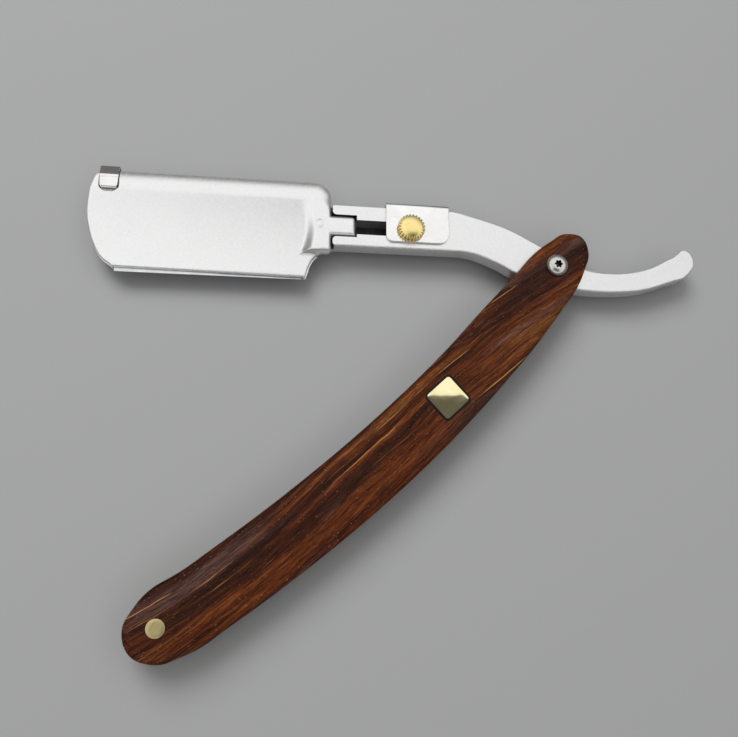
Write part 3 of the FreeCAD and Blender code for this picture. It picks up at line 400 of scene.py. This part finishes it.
# ------------------------------------------------------------------ mesh helpers
def finish_piece(form, name, material, body, slot, *replaced, sharp=35.0):
    """Turn a bmesh, drawn in millimetres, into a shaded piece that rides on a body."""
    bmesh.ops.remove_doubles(form, verts=form.verts, dist=1e-5)
    bmesh.ops.recalc_face_normals(form, faces=form.faces)
    bmesh.ops.transform(form, matrix=Matrix.Scale(MM, 4), verts=form.verts)
    for face in form.faces:
        face.smooth = True
    mesh = bpy.data.meshes.new(name)
    form.to_mesh(mesh)
    form.free()
    mesh.set_sharp_from_angle(angle=math.radians(sharp))
    mesh.materials.append(material)
    piece = bpy.data.objects.new(name, mesh)
    bpy.context.scene.collection.objects.link(piece)
    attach(piece, body)
    if replaced:
        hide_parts(*replaced)
    return piece


def box_mm(node):
    """A CAD node's lowest and highest corners in millimetres."""
    low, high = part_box(node)
    return low / MM, high / MM


def turned(profile, centre, segments):
    """Spin a profile of (radius, height) points about a vertical axis through a centre."""
    form = bmesh.new()
    corners = [form.verts.new((radius, 0.0, height)) for radius, height in profile]
    edges = [form.edges.new(pair) for pair in zip(corners, corners[1:])]
    bmesh.ops.spin(form, geom=corners + edges, cent=(0, 0, 0), axis=(0, 0, 1), angle=2 * math.pi,
                   steps=segments, use_merge=True)
    bmesh.ops.remove_doubles(form, verts=form.verts, dist=1e-5)
    bmesh.ops.translate(form, vec=centre, verts=form.verts)
    return form


def superellipse(width, height, power, steps):
    """(inward, up) steps from an upright wall over a rounded edge to a level face."""
    places = []
    for step in range(1, steps + 1):
        angle = math.pi / 2 * step / steps
        inward = width * (1 - math.cos(angle) ** (2 / power))
        up = height * math.sin(angle) ** (2 / power)
        places.append((inward, up))
    return places


def pull_in(form, face, profile):
    """Inset a face step by step along a profile of (inward, up) places."""
    before_in, before_up = 0.0, 0.0
    for inward, up in profile:
        bmesh.ops.inset_region(form, faces=[face], thickness=inward - before_in,
                               depth=up - before_up, use_even_offset=True, use_boundary=True)
        before_in, before_up = inward, up


def draw_in(form, face, steps):
    """Raise a face step by step, shrinking it about its middle each time."""
    for share, up in steps:
        solid = bmesh.ops.extrude_face_region(form, geom=[face])
        face = [item for item in solid["geom"] if isinstance(item, bmesh.types.BMFace)][0]
        about = Matrix.Translation(-face.calc_center_median())
        bmesh.ops.scale(form, vec=(share, share, 1), space=about, verts=face.verts)
        bmesh.ops.translate(form, vec=(0, 0, up), verts=face.verts)


# ------------------------------------------------------------------ wooden scales
def outline_points(node, level, upper=None):
    """The outer outline of a CAD node's underside between two heights, in order."""
    upper = level if upper is None else upper
    form = bmesh.new()
    form.from_mesh(NODES[node].data)
    bmesh.ops.remove_doubles(form, verts=form.verts, dist=1e-7)
    flat = {face for face in form.faces
            if all(level - 0.01 < v.co.z / MM < upper + 0.01 for v in face.verts)}
    rim = [edge for edge in form.edges if sum(face in flat for face in edge.link_faces) == 1]
    corner = min((v for edge in rim for v in edge.verts), key=lambda v: v.co.x)
    loop = [corner]
    last = None
    while True:
        ways = [edge for edge in loop[-1].link_edges if edge in set(rim) and edge is not last]
        last = ways[0]
        ahead = last.other_vert(loop[-1])
        if ahead is corner:
            break
        loop.append(ahead)
    points = []
    for corner in loop:
        place = corner.co / MM
        if not points or (place.xy - points[-1].xy).length > 0.01:
            points.append(place)
    form.free()
    return points


def make_scale(name, material, node, inner, outer):
    """A scale with a softly crowned, hand-sanded outer face."""
    up = 1 if outer > inner else -1
    form = bmesh.new()
    rim = [form.verts.new((point.x, point.y, inner)) for point in outline_points(node, inner)]
    face = form.faces.new(rim)
    face.normal_update()
    if face.normal.z * up < 0:
        bmesh.ops.reverse_faces(form, faces=[face])
    crown = superellipse(3.3, 1.35, 2.35, 10)
    wall = abs(outer - inner) - crown[-1][1]
    solid = bmesh.ops.extrude_face_region(form, geom=[face])
    lifted = [item for item in solid["geom"] if isinstance(item, bmesh.types.BMVert)]
    bmesh.ops.translate(form, vec=(0, 0, up * wall), verts=lifted)
    top = [item for item in solid["geom"] if isinstance(item, bmesh.types.BMFace)][0]
    pull_in(form, top, crown)
    return finish_piece(form, name, material, "handle", "rosewood", node, sharp=50.0)


def make_scales():
    low, high = box_mm("front_scale")
    make_scale("front_rosewood_scale", ROSEWOOD_FRONT, "front_scale", low.z, high.z)
    low, high = box_mm("back_scale")
    make_scale("back_rosewood_scale", ROSEWOOD_BACK, "back_scale", high.z, low.z)


# ------------------------------------------------------------------ inlay and end pin
def rounded_square(side, corner, segments):
    """A flat square face with rounded corners, centred on the origin."""
    form = bmesh.new()
    bmesh.ops.create_grid(form, x_segments=1, y_segments=1, size=side / 2)
    bmesh.ops.bevel(form, geom=form.verts[:], offset=corner, offset_type="OFFSET",
                    segments=segments, profile=0.5, affect="VERTICES", material=-1)
    return form


def raise_face(form, height):
    """Extrude the only face of a form upwards; returns the raised face."""
    base = form.faces[:][0]
    if base.normal.z < 0:
        bmesh.ops.reverse_faces(form, faces=[base])
    solid = bmesh.ops.extrude_face_region(form, geom=[base])
    lifted = [item for item in solid["geom"] if isinstance(item, bmesh.types.BMVert)]
    bmesh.ops.translate(form, vec=(0, 0, height), verts=lifted)
    return [item for item in solid["geom"] if isinstance(item, bmesh.types.BMFace)][0]


def seat_on_handle(form, centre):
    """Turn a form square to the handle and move it to its place."""
    turn = Matrix.Rotation(HANDLE_ANGLE, 3, "Z")
    bmesh.ops.rotate(form, cent=(0, 0, 0), matrix=turn, verts=form.verts)
    bmesh.ops.translate(form, vec=centre, verts=form.verts)


def make_inlay():
    """Mirror-polished square with a bevelled rim and a faint pillow, in a dark glue line."""
    low, high = box_mm("square_inlay")
    centre = (low + high) / 2
    side = 8.5
    form = rounded_square(side, 1.1, 8)
    top = raise_face(form, high.z - low.z - 0.10)
    pull_in(form, top, [(0.03, 0.03), (0.10, 0.06), (0.34, 0.10)])
    draw_in(form, top, [(0.95, 0.004), (0.93, 0.002), (0.88, 0.001)])
    seat_on_handle(form, (centre.x, centre.y, low.z + 0.02))
    finish_piece(form, "polished_inlay", MIRROR_BRASS, "handle", "polished_brass", "square_inlay",
                 sharp=30.0)

    glue = rounded_square(side + 0.56, 1.4, 8)
    top = raise_face(glue, 0.5)
    pull_in(glue, top, [(0.05, 0.02)])
    seat_on_handle(glue, (centre.x, centre.y, high.z - 0.5))
    finish_piece(glue, "inlay_glue_line", DARK_GLUE, "handle", "black_polymer")


def make_end_pin():
    """Brass pin through both scales, its ends filed nearly flush, in a thin dark line."""
    low, high = box_mm("end_pin")
    centre = (low + high) / 2
    radius = (high.x - low.x) / 2
    top = high.z + 0.07
    dome = [(radius * 0.94, top - 0.03), (radius * 0.6, top - 0.005), (0.0, top)]
    foot = [(0.0, low.z), (radius * 0.94, low.z + 0.02), (radius, low.z + 0.1)]
    form = turned(foot + [(radius, top - 0.1)] + dome, (centre.x, centre.y, 0), 96)
    finish_piece(form, "filed_end_pin", PIN_BRASS, "handle", "brass", "end_pin")

    ring = [(radius - 0.1, 0.0), (radius + 0.14, 0.0), (radius + 0.14, 0.38), (radius + 0.02, 0.42),
            (radius - 0.1, 0.42), (radius - 0.1, 0.0)]
    form = turned(ring, (centre.x, centre.y, high.z - 0.4), 96)
    finish_piece(form, "end_pin_glue_line", DARK_GLUE, "handle", "black_polymer")


# ------------------------------------------------------------------ pivot screw and knob
def make_screw():
    """Button-head screw with a six-lobe socket."""
    low, high = box_mm("pivot_screw")
    radius = (high.x - low.x) / 2
    seat = high.z - 1.45
    rise = high.z - seat
    rim = 0.32
    socket = 1.02
    socket_depth = 1.1
    shank = 1.5
    dome = [(socket + (radius - 0.06 - socket) * t,
             seat + rim + (rise - rim) * math.sqrt(1 - t ** 2.3))
            for t in [step / 14 for step in range(14)]]
    profile = dome + [(radius - 0.02, seat + rim), (radius, seat + 0.16), (radius - 0.06, seat),
                      (shank, seat), (shank, low.z + 0.3), (shank - 0.3, low.z), (0.0, low.z)]
    form = turned(profile, (0, 0, 0), 144)
    mouth = [v for v in form.verts if len([e for e in v.link_edges if e.is_boundary]) == 2]
    lobes, waist, lobe_depth = 6, 0.80, 0.33
    for corner in mouth:
        angle = math.atan2(corner.co.y, corner.co.x)
        lobe = 0.5 + 0.5 * math.cos(lobes * angle)
        reach = waist + lobe_depth * lobe ** 0.8
        scale = reach / socket
        corner.co.x *= scale
        corner.co.y *= scale
    edges = [edge for edge in form.edges if edge.is_boundary]
    walls = bmesh.ops.extrude_edge_only(form, edges=edges)
    sunk = [item for item in walls["geom"] if isinstance(item, bmesh.types.BMVert)]
    bmesh.ops.translate(form, vec=(0, 0, -socket_depth), verts=sunk)
    bmesh.ops.holes_fill(form, edges=[edge for edge in form.edges if edge.is_boundary], sides=0)
    piece = finish_piece(form, "button_head_screw", STAINLESS, "handle", "stainless",
                         "pivot_screw", sharp=40.0)
    # The socket's walls and floor get the near-black material: painted shade in the recess.
    piece.data.materials.append(BLACK_OXIDE_AND_SHADE)
    widest = 1.14
    for face in piece.data.polygons:
        place = face.center / MM
        if place.xy.length < widest and seat + 0.2 < place.z < high.z - 0.05:
            face.material_index = 1


def make_knob():
    """Thumb knob: knurled rim, broken upper edge, low turned dome, and its stud."""
    low, high = box_mm("lock_knob")
    centre = (low + high) / 2
    radius = (high.x - low.x) / 2 + 0.08
    seat = high.z - 1.9
    stud = 1.25
    crown = 0.42
    knurls, knurl_depth, knurl_zone = 24, 0.50, 0.7
    dome = [((radius - 0.22) * (1 - step / 14), high.z - crown * (1 - step / 14) ** 2.6)
            for step in range(15)]
    edge = dome[0][1]
    profile = [(0.0, low.z), (stud - 0.2, low.z), (stud, low.z + 0.2), (stud, seat),
               (radius - 0.35, seat), (radius - 0.08, seat + 0.14), (radius, seat + 0.30),
               (radius, edge - 0.24), (radius - 0.04, edge - 0.10), (radius - 0.12, edge - 0.03)]
    form = turned(profile + dome, (0, 0, 0), knurls * 10)
    for corner in form.verts:
        reach = math.hypot(corner.co.x, corner.co.y)
        if reach < radius - knurl_zone:
            continue
        angle = math.atan2(corner.co.y, corner.co.x)
        groove = max(0.0, math.cos(knurls * angle)) ** 0.7
        depth = knurl_depth * groove * min(1.0, (reach - (radius - knurl_zone)) / 0.6)
        corner.co.x *= 1 - depth / reach
        corner.co.y *= 1 - depth / reach
    bmesh.ops.translate(form, vec=(centre.x, centre.y, 0), verts=form.verts)
    finish_piece(form, "knurled_knob", KNOB_BRASS, "knob", "brass", "lock_knob", sharp=45.0)


# ------------------------------------------------------------------ folded sheet parts
def rounded_path(points, radii, steps):
    """A chain of (y, z) points whose inner corners are arcs of the given radii."""
    places = [Vector(point) for point in points]
    chain = [places[0]]
    for before, here, after, radius in zip(places, places[1:], places[2:], radii):
        back = (before - here).normalized()
        ahead = (after - here).normalized()
        half = back.angle(ahead) / 2
        reach = radius / math.tan(half)
        start = here + back * reach
        centre = here + (back + ahead).normalized() * (radius / math.sin(half))
        arm = start - centre
        turn = math.pi - 2 * half
        side = 1 if back.x * ahead.y - back.y * ahead.x < 0 else -1
        for step in range(steps + 1):
            angle = side * turn * step / steps
            c, s = math.cos(angle), math.sin(angle)
            chain.append(centre + Vector((arm.x * c - arm.y * s, arm.x * s + arm.y * c)))
    chain.append(places[-1])
    return chain


def sheet_strip(chain, left, right, columns):
    """A thin sheet that follows a (y, z) chain and reaches from left to right in x."""
    form = bmesh.new()
    corners = [form.verts.new((left, place.x, place.y)) for place in chain]
    edges = [form.edges.new(pair) for pair in zip(corners, corners[1:])]
    for step in range(columns):
        moved = bmesh.ops.extrude_edge_only(form, edges=edges)
        verts = [item for item in moved["geom"] if isinstance(item, bmesh.types.BMVert)]
        bmesh.ops.translate(form, vec=((right - left) / columns, 0, 0), verts=verts)
        edges = [item for item in moved["geom"] if isinstance(item, bmesh.types.BMEdge)
                 and all(corner in verts for corner in item.verts)]
    return form


def thicken(form, thickness, edge_round):
    """Give a sheet its thickness, centred on the drawn surface, and break its edges."""
    bmesh.ops.recalc_face_normals(form, faces=form.faces)
    form.normal_update()
    drawn = {corner: corner.co.copy() for corner in form.verts}
    for corner, place in drawn.items():
        corner.co = place + corner.normal * (thickness / 2)
    bmesh.ops.solidify(form, geom=form.faces[:], thickness=thickness)
    form.normal_update()
    rim = [edge for edge in form.edges
           if len(edge.link_faces) == 2 and edge.calc_face_angle(0) > math.radians(60)]
    bmesh.ops.bevel(form, geom=rim, offset=edge_round, offset_type="OFFSET", segments=2,
                    profile=0.5, affect="EDGES", clamp_overlap=True, material=-1)
    # A thin border keeps the shading of a broad face level up to its broken edge.
    broad = [face for face in form.faces if face.calc_area() > 20.0]
    bmesh.ops.inset_individual(form, faces=broad, thickness=0.12, use_even_offset=True)


def make_saddle():
    """Bright sheet saddle folded over the arm's upper edge."""
    low, high = box_mm("lock_saddle")
    thick = 0.6
    half = thick / 2
    back_foot = 12.2
    chain = rounded_path([(low.y, high.z - half), (high.y - half, high.z - half),
                          (high.y - half, low.z + half), (back_foot, low.z + half)],
                         [0.62, 0.62], 5)
    form = sheet_strip(chain, low.x, high.x, 1)
    for side_x, radius in ((low.x, 2.0), (high.x, 3.0)):
        tip = Vector((side_x, low.y, high.z - half))
        corner = min(form.verts, key=lambda v: (v.co - tip).length)
        bmesh.ops.bevel(form, geom=[corner], offset=radius, offset_type="OFFSET", segments=8,
                        profile=0.5, affect="VERTICES", material=-1)
    thicken(form, thick, 0.10)
    finish_piece(form, "bright_lock_saddle", NICKEL, "lock", "nickel", "lock_saddle")


def make_clip():
    """Spring clip over the spine at the nose, its front foot curled down to the plate."""
    low, high = box_mm("nose_clip")
    thick = 0.4
    half = thick / 2
    middle_x = (low.x + high.x) / 2
    wide = high.x - low.x
    front = high.z - half
    spine = high.y - half
    foot_reach, foot_tip = 2.5, 0.16
    chain = rounded_path([(low.y, front - 1.35), (low.y + 1.0, front), (spine - 2.75, front),
                          (spine, front - 1.1), (spine, low.z + half + 0.9),
                          (spine - 0.9, low.z + half), (low.y + 0.5, low.z + half)],
                         [0.9, 0.3, 0.5, 0.7, 0.7], 5)
    form = sheet_strip(chain, low.x, high.x, 16)
    for corner in form.verts:
        share = (corner.co.x - middle_x) / (wide / 2)
        if corner.co.z > front - 1.4 and corner.co.y < low.y + foot_reach:
            room = min(1.0, max(0.0, (corner.co.y - low.y) / foot_reach))
            reach = math.sqrt(max(0.0, 1 - (1 - room) ** 2))
            corner.co.x = middle_x + share * wide / 2 * (foot_tip + (1 - foot_tip) * reach)
    thicken(form, thick, 0.07)
    finish_piece(form, "nose_spring_clip", NICKEL, "tang", "nickel", "nose_clip")


# ------------------------------------------------------------------ cover plate
def smooth_share(value):
    """Smooth rise from nought to one."""
    value = min(1.0, max(0.0, value))
    return value * value * (3 - 2 * value)


def cover_sink(x, y):
    """How far the plate's face lies under its highest level: hollow blade zone, root block,
    clip seat and the ring round the painted pin."""
    band_line, zone_deep, zone_reach = 16.0, 1.5, 20.0
    below = band_line - y
    below = (below + math.sqrt(below * below + 0.09)) / 2
    share = min(1.0, below / zone_reach)
    hollow = zone_deep * (1 - (1 - share) ** 2)
    step_x = -64.5 - 1.4 * ((y - 8.4) / 7.0) ** 2
    in_zone = smooth_share((step_x + 1.5 - x) / 3.0)
    under_block = smooth_share((2.6 - y) / 1.1)
    sink = hollow * max(in_zone, under_block)
    from_pin = math.hypot(x + 62.0, y - 9.4)
    ring_radius, ring_width, ring_depth = 1.03, 0.13, 0.07
    sink += ring_depth * math.exp(-((from_pin - ring_radius) / ring_width) ** 2)
    clip_x, clip_half, foot = -115.2, 2.45, 14.98
    aside = abs(x - clip_x) / clip_half
    if aside < 1:
        foot_line = foot + 1.9 * (1 - math.sqrt(1 - aside * aside))
        in_seat = smooth_share((y - foot_line) / 0.2) * smooth_share((1 - aside) * clip_half / 0.2)
        seat = 1.30 + 0.60 * smooth_share((16.9 - y) / 1.2)
        sink = max(sink, seat * in_seat)
    return sink


def edge_radius(x, y):
    """How wide and how deep the plate's rim is rounded: broad along the spine, thin at the lip."""
    spine = smooth_share((y - 13.0) / 4.0) * smooth_share((x + 118.0) / 3.5)
    block = smooth_share((y - 0.9) / 0.6) * (1 - spine) if x > -67.0 else 0.0
    return 0.3 + 2.9 * spine + 0.7 * block, 0.3 + 1.0 * spine + 0.6 * block


def make_cover():
    """Painted cover plate with a hollow blade zone that flows out of the spine band."""
    low, high = box_mm("cover_plate")
    outline = outline_points("cover_plate", low.z, low.z + 0.2)
    dense = []
    for here, ahead in zip(outline, outline[1:] + outline[:1]):
        pieces = max(1, int((ahead - here).length / 0.1))
        dense += [here.lerp(ahead, step / pieces) for step in range(pieces)]
    tree = KDTree(len(dense))
    for index, place in enumerate(dense):
        tree.insert((place.x, place.y, 0.0), index)
    tree.balance()

    form = bmesh.new()
    rim = [form.verts.new((point.x, point.y, low.z)) for point in outline]
    base = form.faces.new(rim)
    base.normal_update()
    if base.normal.z < 0:
        bmesh.ops.reverse_faces(form, faces=[base])
    top = raise_face(form, high.z - low.z)
    for thickness in (0.06, 0.08, 0.10):
        bmesh.ops.inset_region(form, faces=[top], thickness=thickness, use_boundary=True)
    flat = bmesh.ops.triangulate(form, faces=[top])["faces"]
    # Rows of cuts: across (1) or along (0) the plate, first place, spacing and number.
    rows = [(1, -3.0, 0.75, 33), (1, 14.6, 0.2, 34), (1, 1.5, 0.1, 9), (1, 8.05, 0.15, 19),
            (0, -118.5, 1.5, 35), (0, -67.2, 0.2, 20), (0, -63.3, 0.15, 29), (0, -117.9, 0.2, 28),
            (1, 6.6, 0.15, 9), (1, 11.0, 0.15, 7), (1, 2.5, 0.15, 7), (0, -53.9, 0.15, 8)]
    cuts = [(axis, first + spacing * step) for axis, first, spacing, number in rows
            for step in range(number)]
    for axis, place in cuts:
        patch = {item for face in flat for item in [face, *face.edges, *face.verts]}
        point = [0.0, 0.0, 0.0]
        point[axis] = place
        normal = [0.0, 0.0, 0.0]
        normal[axis] = 1.0
        cut = bmesh.ops.bisect_plane(form, geom=list(patch), plane_co=point, plane_no=normal,
                                     dist=1e-4)
        flat = [item for item in cut["geom"] if isinstance(item, bmesh.types.BMFace)]
    for corner in form.verts:
        if corner.co.z < low.z + 0.1:
            continue
        x, y = corner.co.x, corner.co.y
        wide, deep = edge_radius(x, y)
        away = tree.find((x, y, 0.0))[2]
        short = max(0.0, 1 - away / wide)
        drop = deep * (1 - math.sqrt(max(0.0, 1 - short * short)))
        corner.co.z -= cover_sink(x, y) + drop
    finish_piece(form, "painted_cover_plate", SILVER_PAINT, "cover", "silver_paint",
                 "cover_plate", sharp=60.0)


# ------------------------------------------------------------------ plate rim and razor blade
def make_plate_rim():
    """Bare bright rim of the back plate, a little proud of the cover at the nose and the lips."""
    low, high = box_mm("cover_plate")
    bed = box_mm("razor_blade")[0].z - 0.02
    thick, stand, root = 0.45, 0.22, -62.5
    form = bmesh.new()
    form.faces.new([form.verts.new((point.x, point.y, bed - thick))
                    for point in outline_points("cover_plate", low.z, low.z + 0.2)])
    form.normal_update()
    raise_face(form, thick)
    hold = Matrix.Translation((-low.x, -high.y, 0.0))
    grow = (1 + stand / (root - low.x), 1 + stand / (high.y - low.y), 1)
    bmesh.ops.scale(form, vec=grow, space=hold, verts=form.verts)
    bmesh.ops.bisect_plane(form, geom=form.verts[:] + form.edges[:] + form.faces[:], dist=1e-4,
                           plane_co=(root, 0, 0), plane_no=(1, 0, 0), clear_outer=True)
    bmesh.ops.holes_fill(form, edges=[edge for edge in form.edges if edge.is_boundary], sides=0)
    finish_piece(form, "bright_plate_rim", NICKEL, "tang", "nickel")


def make_blade():
    """Single-edged strip blade with a short ground bevel along its edge."""
    low, high = box_mm("razor_blade")
    edge = low.y + 0.30
    bevel_line = edge + 0.11
    middle = (low.z + high.z) / 2
    section = [(high.y, low.z), (high.y, high.z), (bevel_line, high.z),
               (edge + 0.03, middle + 0.04), (edge, middle), (edge + 0.03, middle - 0.04),
               (bevel_line, low.z)]
    form = bmesh.new()
    end = form.faces.new([form.verts.new((low.x, y, z)) for y, z in section])
    solid = bmesh.ops.extrude_face_region(form, geom=[end])
    lifted = [item for item in solid["geom"] if isinstance(item, bmesh.types.BMVert)]
    bmesh.ops.translate(form, vec=(high.x - low.x, 0, 0), verts=lifted)
    for corner in form.verts:
        if corner.co.y < low.y + 1.0:
            inward = 0.35 if corner.co.x < (low.x + high.x) / 2 else -0.4
            corner.co.x += inward
    finish_piece(form, "ground_razor_blade", BLADE_STEEL, "blade", "blade_steel", "razor_blade",
                 sharp=15.0)


# ------------------------------------------------------------------ painted pin
def make_root_pin():
    """The cover plate's pin, riveted a little under the face and painted over."""
    low, high = box_mm("root_pin")
    centre = (low + high) / 2
    radius = (high.x - low.x) / 2
    top = high.z - 0.03
    form = turned([(0.0, low.z), (radius, low.z), (radius, top - 0.12), (radius - 0.12, top),
                   (radius * 0.5, top + 0.045), (0.0, top + 0.05)], (centre.x, centre.y, 0), 48)
    finish_piece(form, "painted_root_pin", SILVER_PAINT, "cover", "silver_paint", "root_pin")


# ------------------------------------------------------------------ carried-over metal parts
def dress(material, *names):
    for name in names:
        mesh = NODES[name].data
        mesh.materials.clear()
        mesh.materials.append(material)


def darken_seat():
    """The tang is painted outside only, so its bed, the fork's inner walls and the prong tips are
    bare steel; they are made near-black as painted shade in the deep gap between the plates.
    """
    mesh = NODES["tang"].data
    mesh.materials.append(BARE_STEEL_AND_SHADE)
    slot_middle = 9.2
    for face in mesh.polygons:
        place = face.center / MM
        bed = 5.0 < place.z < 5.6 and face.normal.z > 0.5 and place.x > -61.5
        mouth = -61.0 < place.x < -50.0 and 5.4 < place.z < 7.9 and abs(face.normal.z) < 0.3
        inner = mouth and face.normal.y * (slot_middle - place.y) > 0.2
        tip = mouth and face.normal.x < -0.6
        if bed or inner or tip:
            face.material_index = 1


make_scales()
make_inlay()
make_end_pin()
make_screw()
make_knob()
make_saddle()
make_clip()
make_cover()
make_root_pin()
make_plate_rim()
make_blade()
dress(SILVER_PAINT, "tang")
darken_seat()
dress(ROSEWOOD_SPACER, "scale_spacer")
dress(STAINLESS, "pivot_barrel", "clip_rivet", "nose_dowel")
dress(WASHER_BRASS, "front_washer", "back_washer")
dress(BLACK_POLYMER, "guide_block")
# The clamp bar is blackened steel; its near-black also stands in for the shade seen through the
# arm's slot.
dress(BLACK_OXIDE_AND_SHADE, "clamp_bar")


# ------------------------------------------------------------------ floor, light and camera
def make_floor():
    form = bmesh.new()
    bmesh.ops.create_grid(form, x_segments=1, y_segments=1, size=3.0)
    mesh = bpy.data.meshes.new("table")
    form.to_mesh(mesh)
    form.free()
    made, tree, shader = new_material("pale_table")
    set_sockets(shader, Base_Color=colour(0.365, 0.368, 0.368), Roughness=0.75,
                Specular_IOR_Level=0.12)
    mesh.materials.append(made)
    table = bpy.data.objects.new("table", mesh)
    bpy.context.scene.collection.objects.link(table)


def add_lamp(name, place, aim, size, power):
    lamp = bpy.data.lights.new(name, "AREA")
    lamp.shape = "DISK"
    lamp.size = size
    lamp.energy = power
    holder = bpy.data.objects.new(name, lamp)
    holder.location = place
    holder.visible_glossy = False
    holder.rotation_euler = (Vector(aim) - Vector(place)).to_track_quat("-Z", "Y").to_euler()
    bpy.context.scene.collection.objects.link(holder)


def make_world():
    """Soft room: bright overhead, dark towards the walls, with a dim card near the camera."""
    world = bpy.data.worlds.new("soft_room")
    world.use_nodes = True
    tree = world.node_tree
    direction = add(tree, "TexCoord").outputs["Generated"]
    height = add(tree, "SeparateXYZ", {"Vector": direction}).outputs["Z"]
    tone = ramp(tree, height, [
        (0.0, colour(0.130, 0.124, 0.116)),
        (0.42, colour(0.150, 0.148, 0.145)),
        (0.62, colour(0.36, 0.36, 0.36)),
        (0.79, colour(1.0, 1.0, 1.0)),
    ])
    # The dim card: crisp far edge, soft near edge, slanting left edge, soft right edge and foot.
    aim = add(tree, "SeparateXYZ", {"Vector": direction})
    slant = calculate(tree, "SUBTRACT", aim.outputs["X"],
                      calculate(tree, "MULTIPLY", aim.outputs["Y"], 0.8))
    card = between(tree, aim.outputs["Y"], 0.177, 0.173)
    for place, outside, inside in ((aim.outputs["Y"], -0.55, -0.42), (slant, -0.10, 0.02),
                                   (aim.outputs["X"], 0.46, 0.34), (height, 0.2, 0.4)):
        card = calculate(tree, "MULTIPLY", card, between(tree, place, outside, inside))
    tone = mixed(tree, calculate(tree, "MULTIPLY", card, 0.93), tone, colour(0.05, 0.048, 0.045))
    background = tree.nodes["Background"]
    tree.links.new(tone, background.inputs["Color"])
    background.inputs["Strength"].default_value = 1.12
    bpy.context.scene.world = world


def make_camera():
    """Looks down on the razor from in front of the blade's middle."""
    back = Vector((-0.1370, -0.2103, 0.9680)).normalized()
    right = Vector((0, 1, 0)).cross(back).normalized()
    up = back.cross(right)
    turn = Matrix((right, up, back)).transposed().to_4x4()
    lens = bpy.data.cameras.new("camera")
    lens.sensor_width = 36.0
    lens.lens = 37.76
    lens.clip_start = 0.01
    camera = bpy.data.objects.new("camera", lens)
    camera.matrix_world = Matrix.Translation((-0.07584, -0.06914, 0.19531)) @ turn
    bpy.context.scene.collection.objects.link(camera)
    bpy.context.scene.camera = camera


make_floor()
make_world()
make_camera()
add_lamp("window_lamp", (-0.36, 0.52, 0.80), (-0.03, -0.02, 0.0), 0.6, 6.0)
bpy.context.scene.view_settings.view_transform = "Standard"
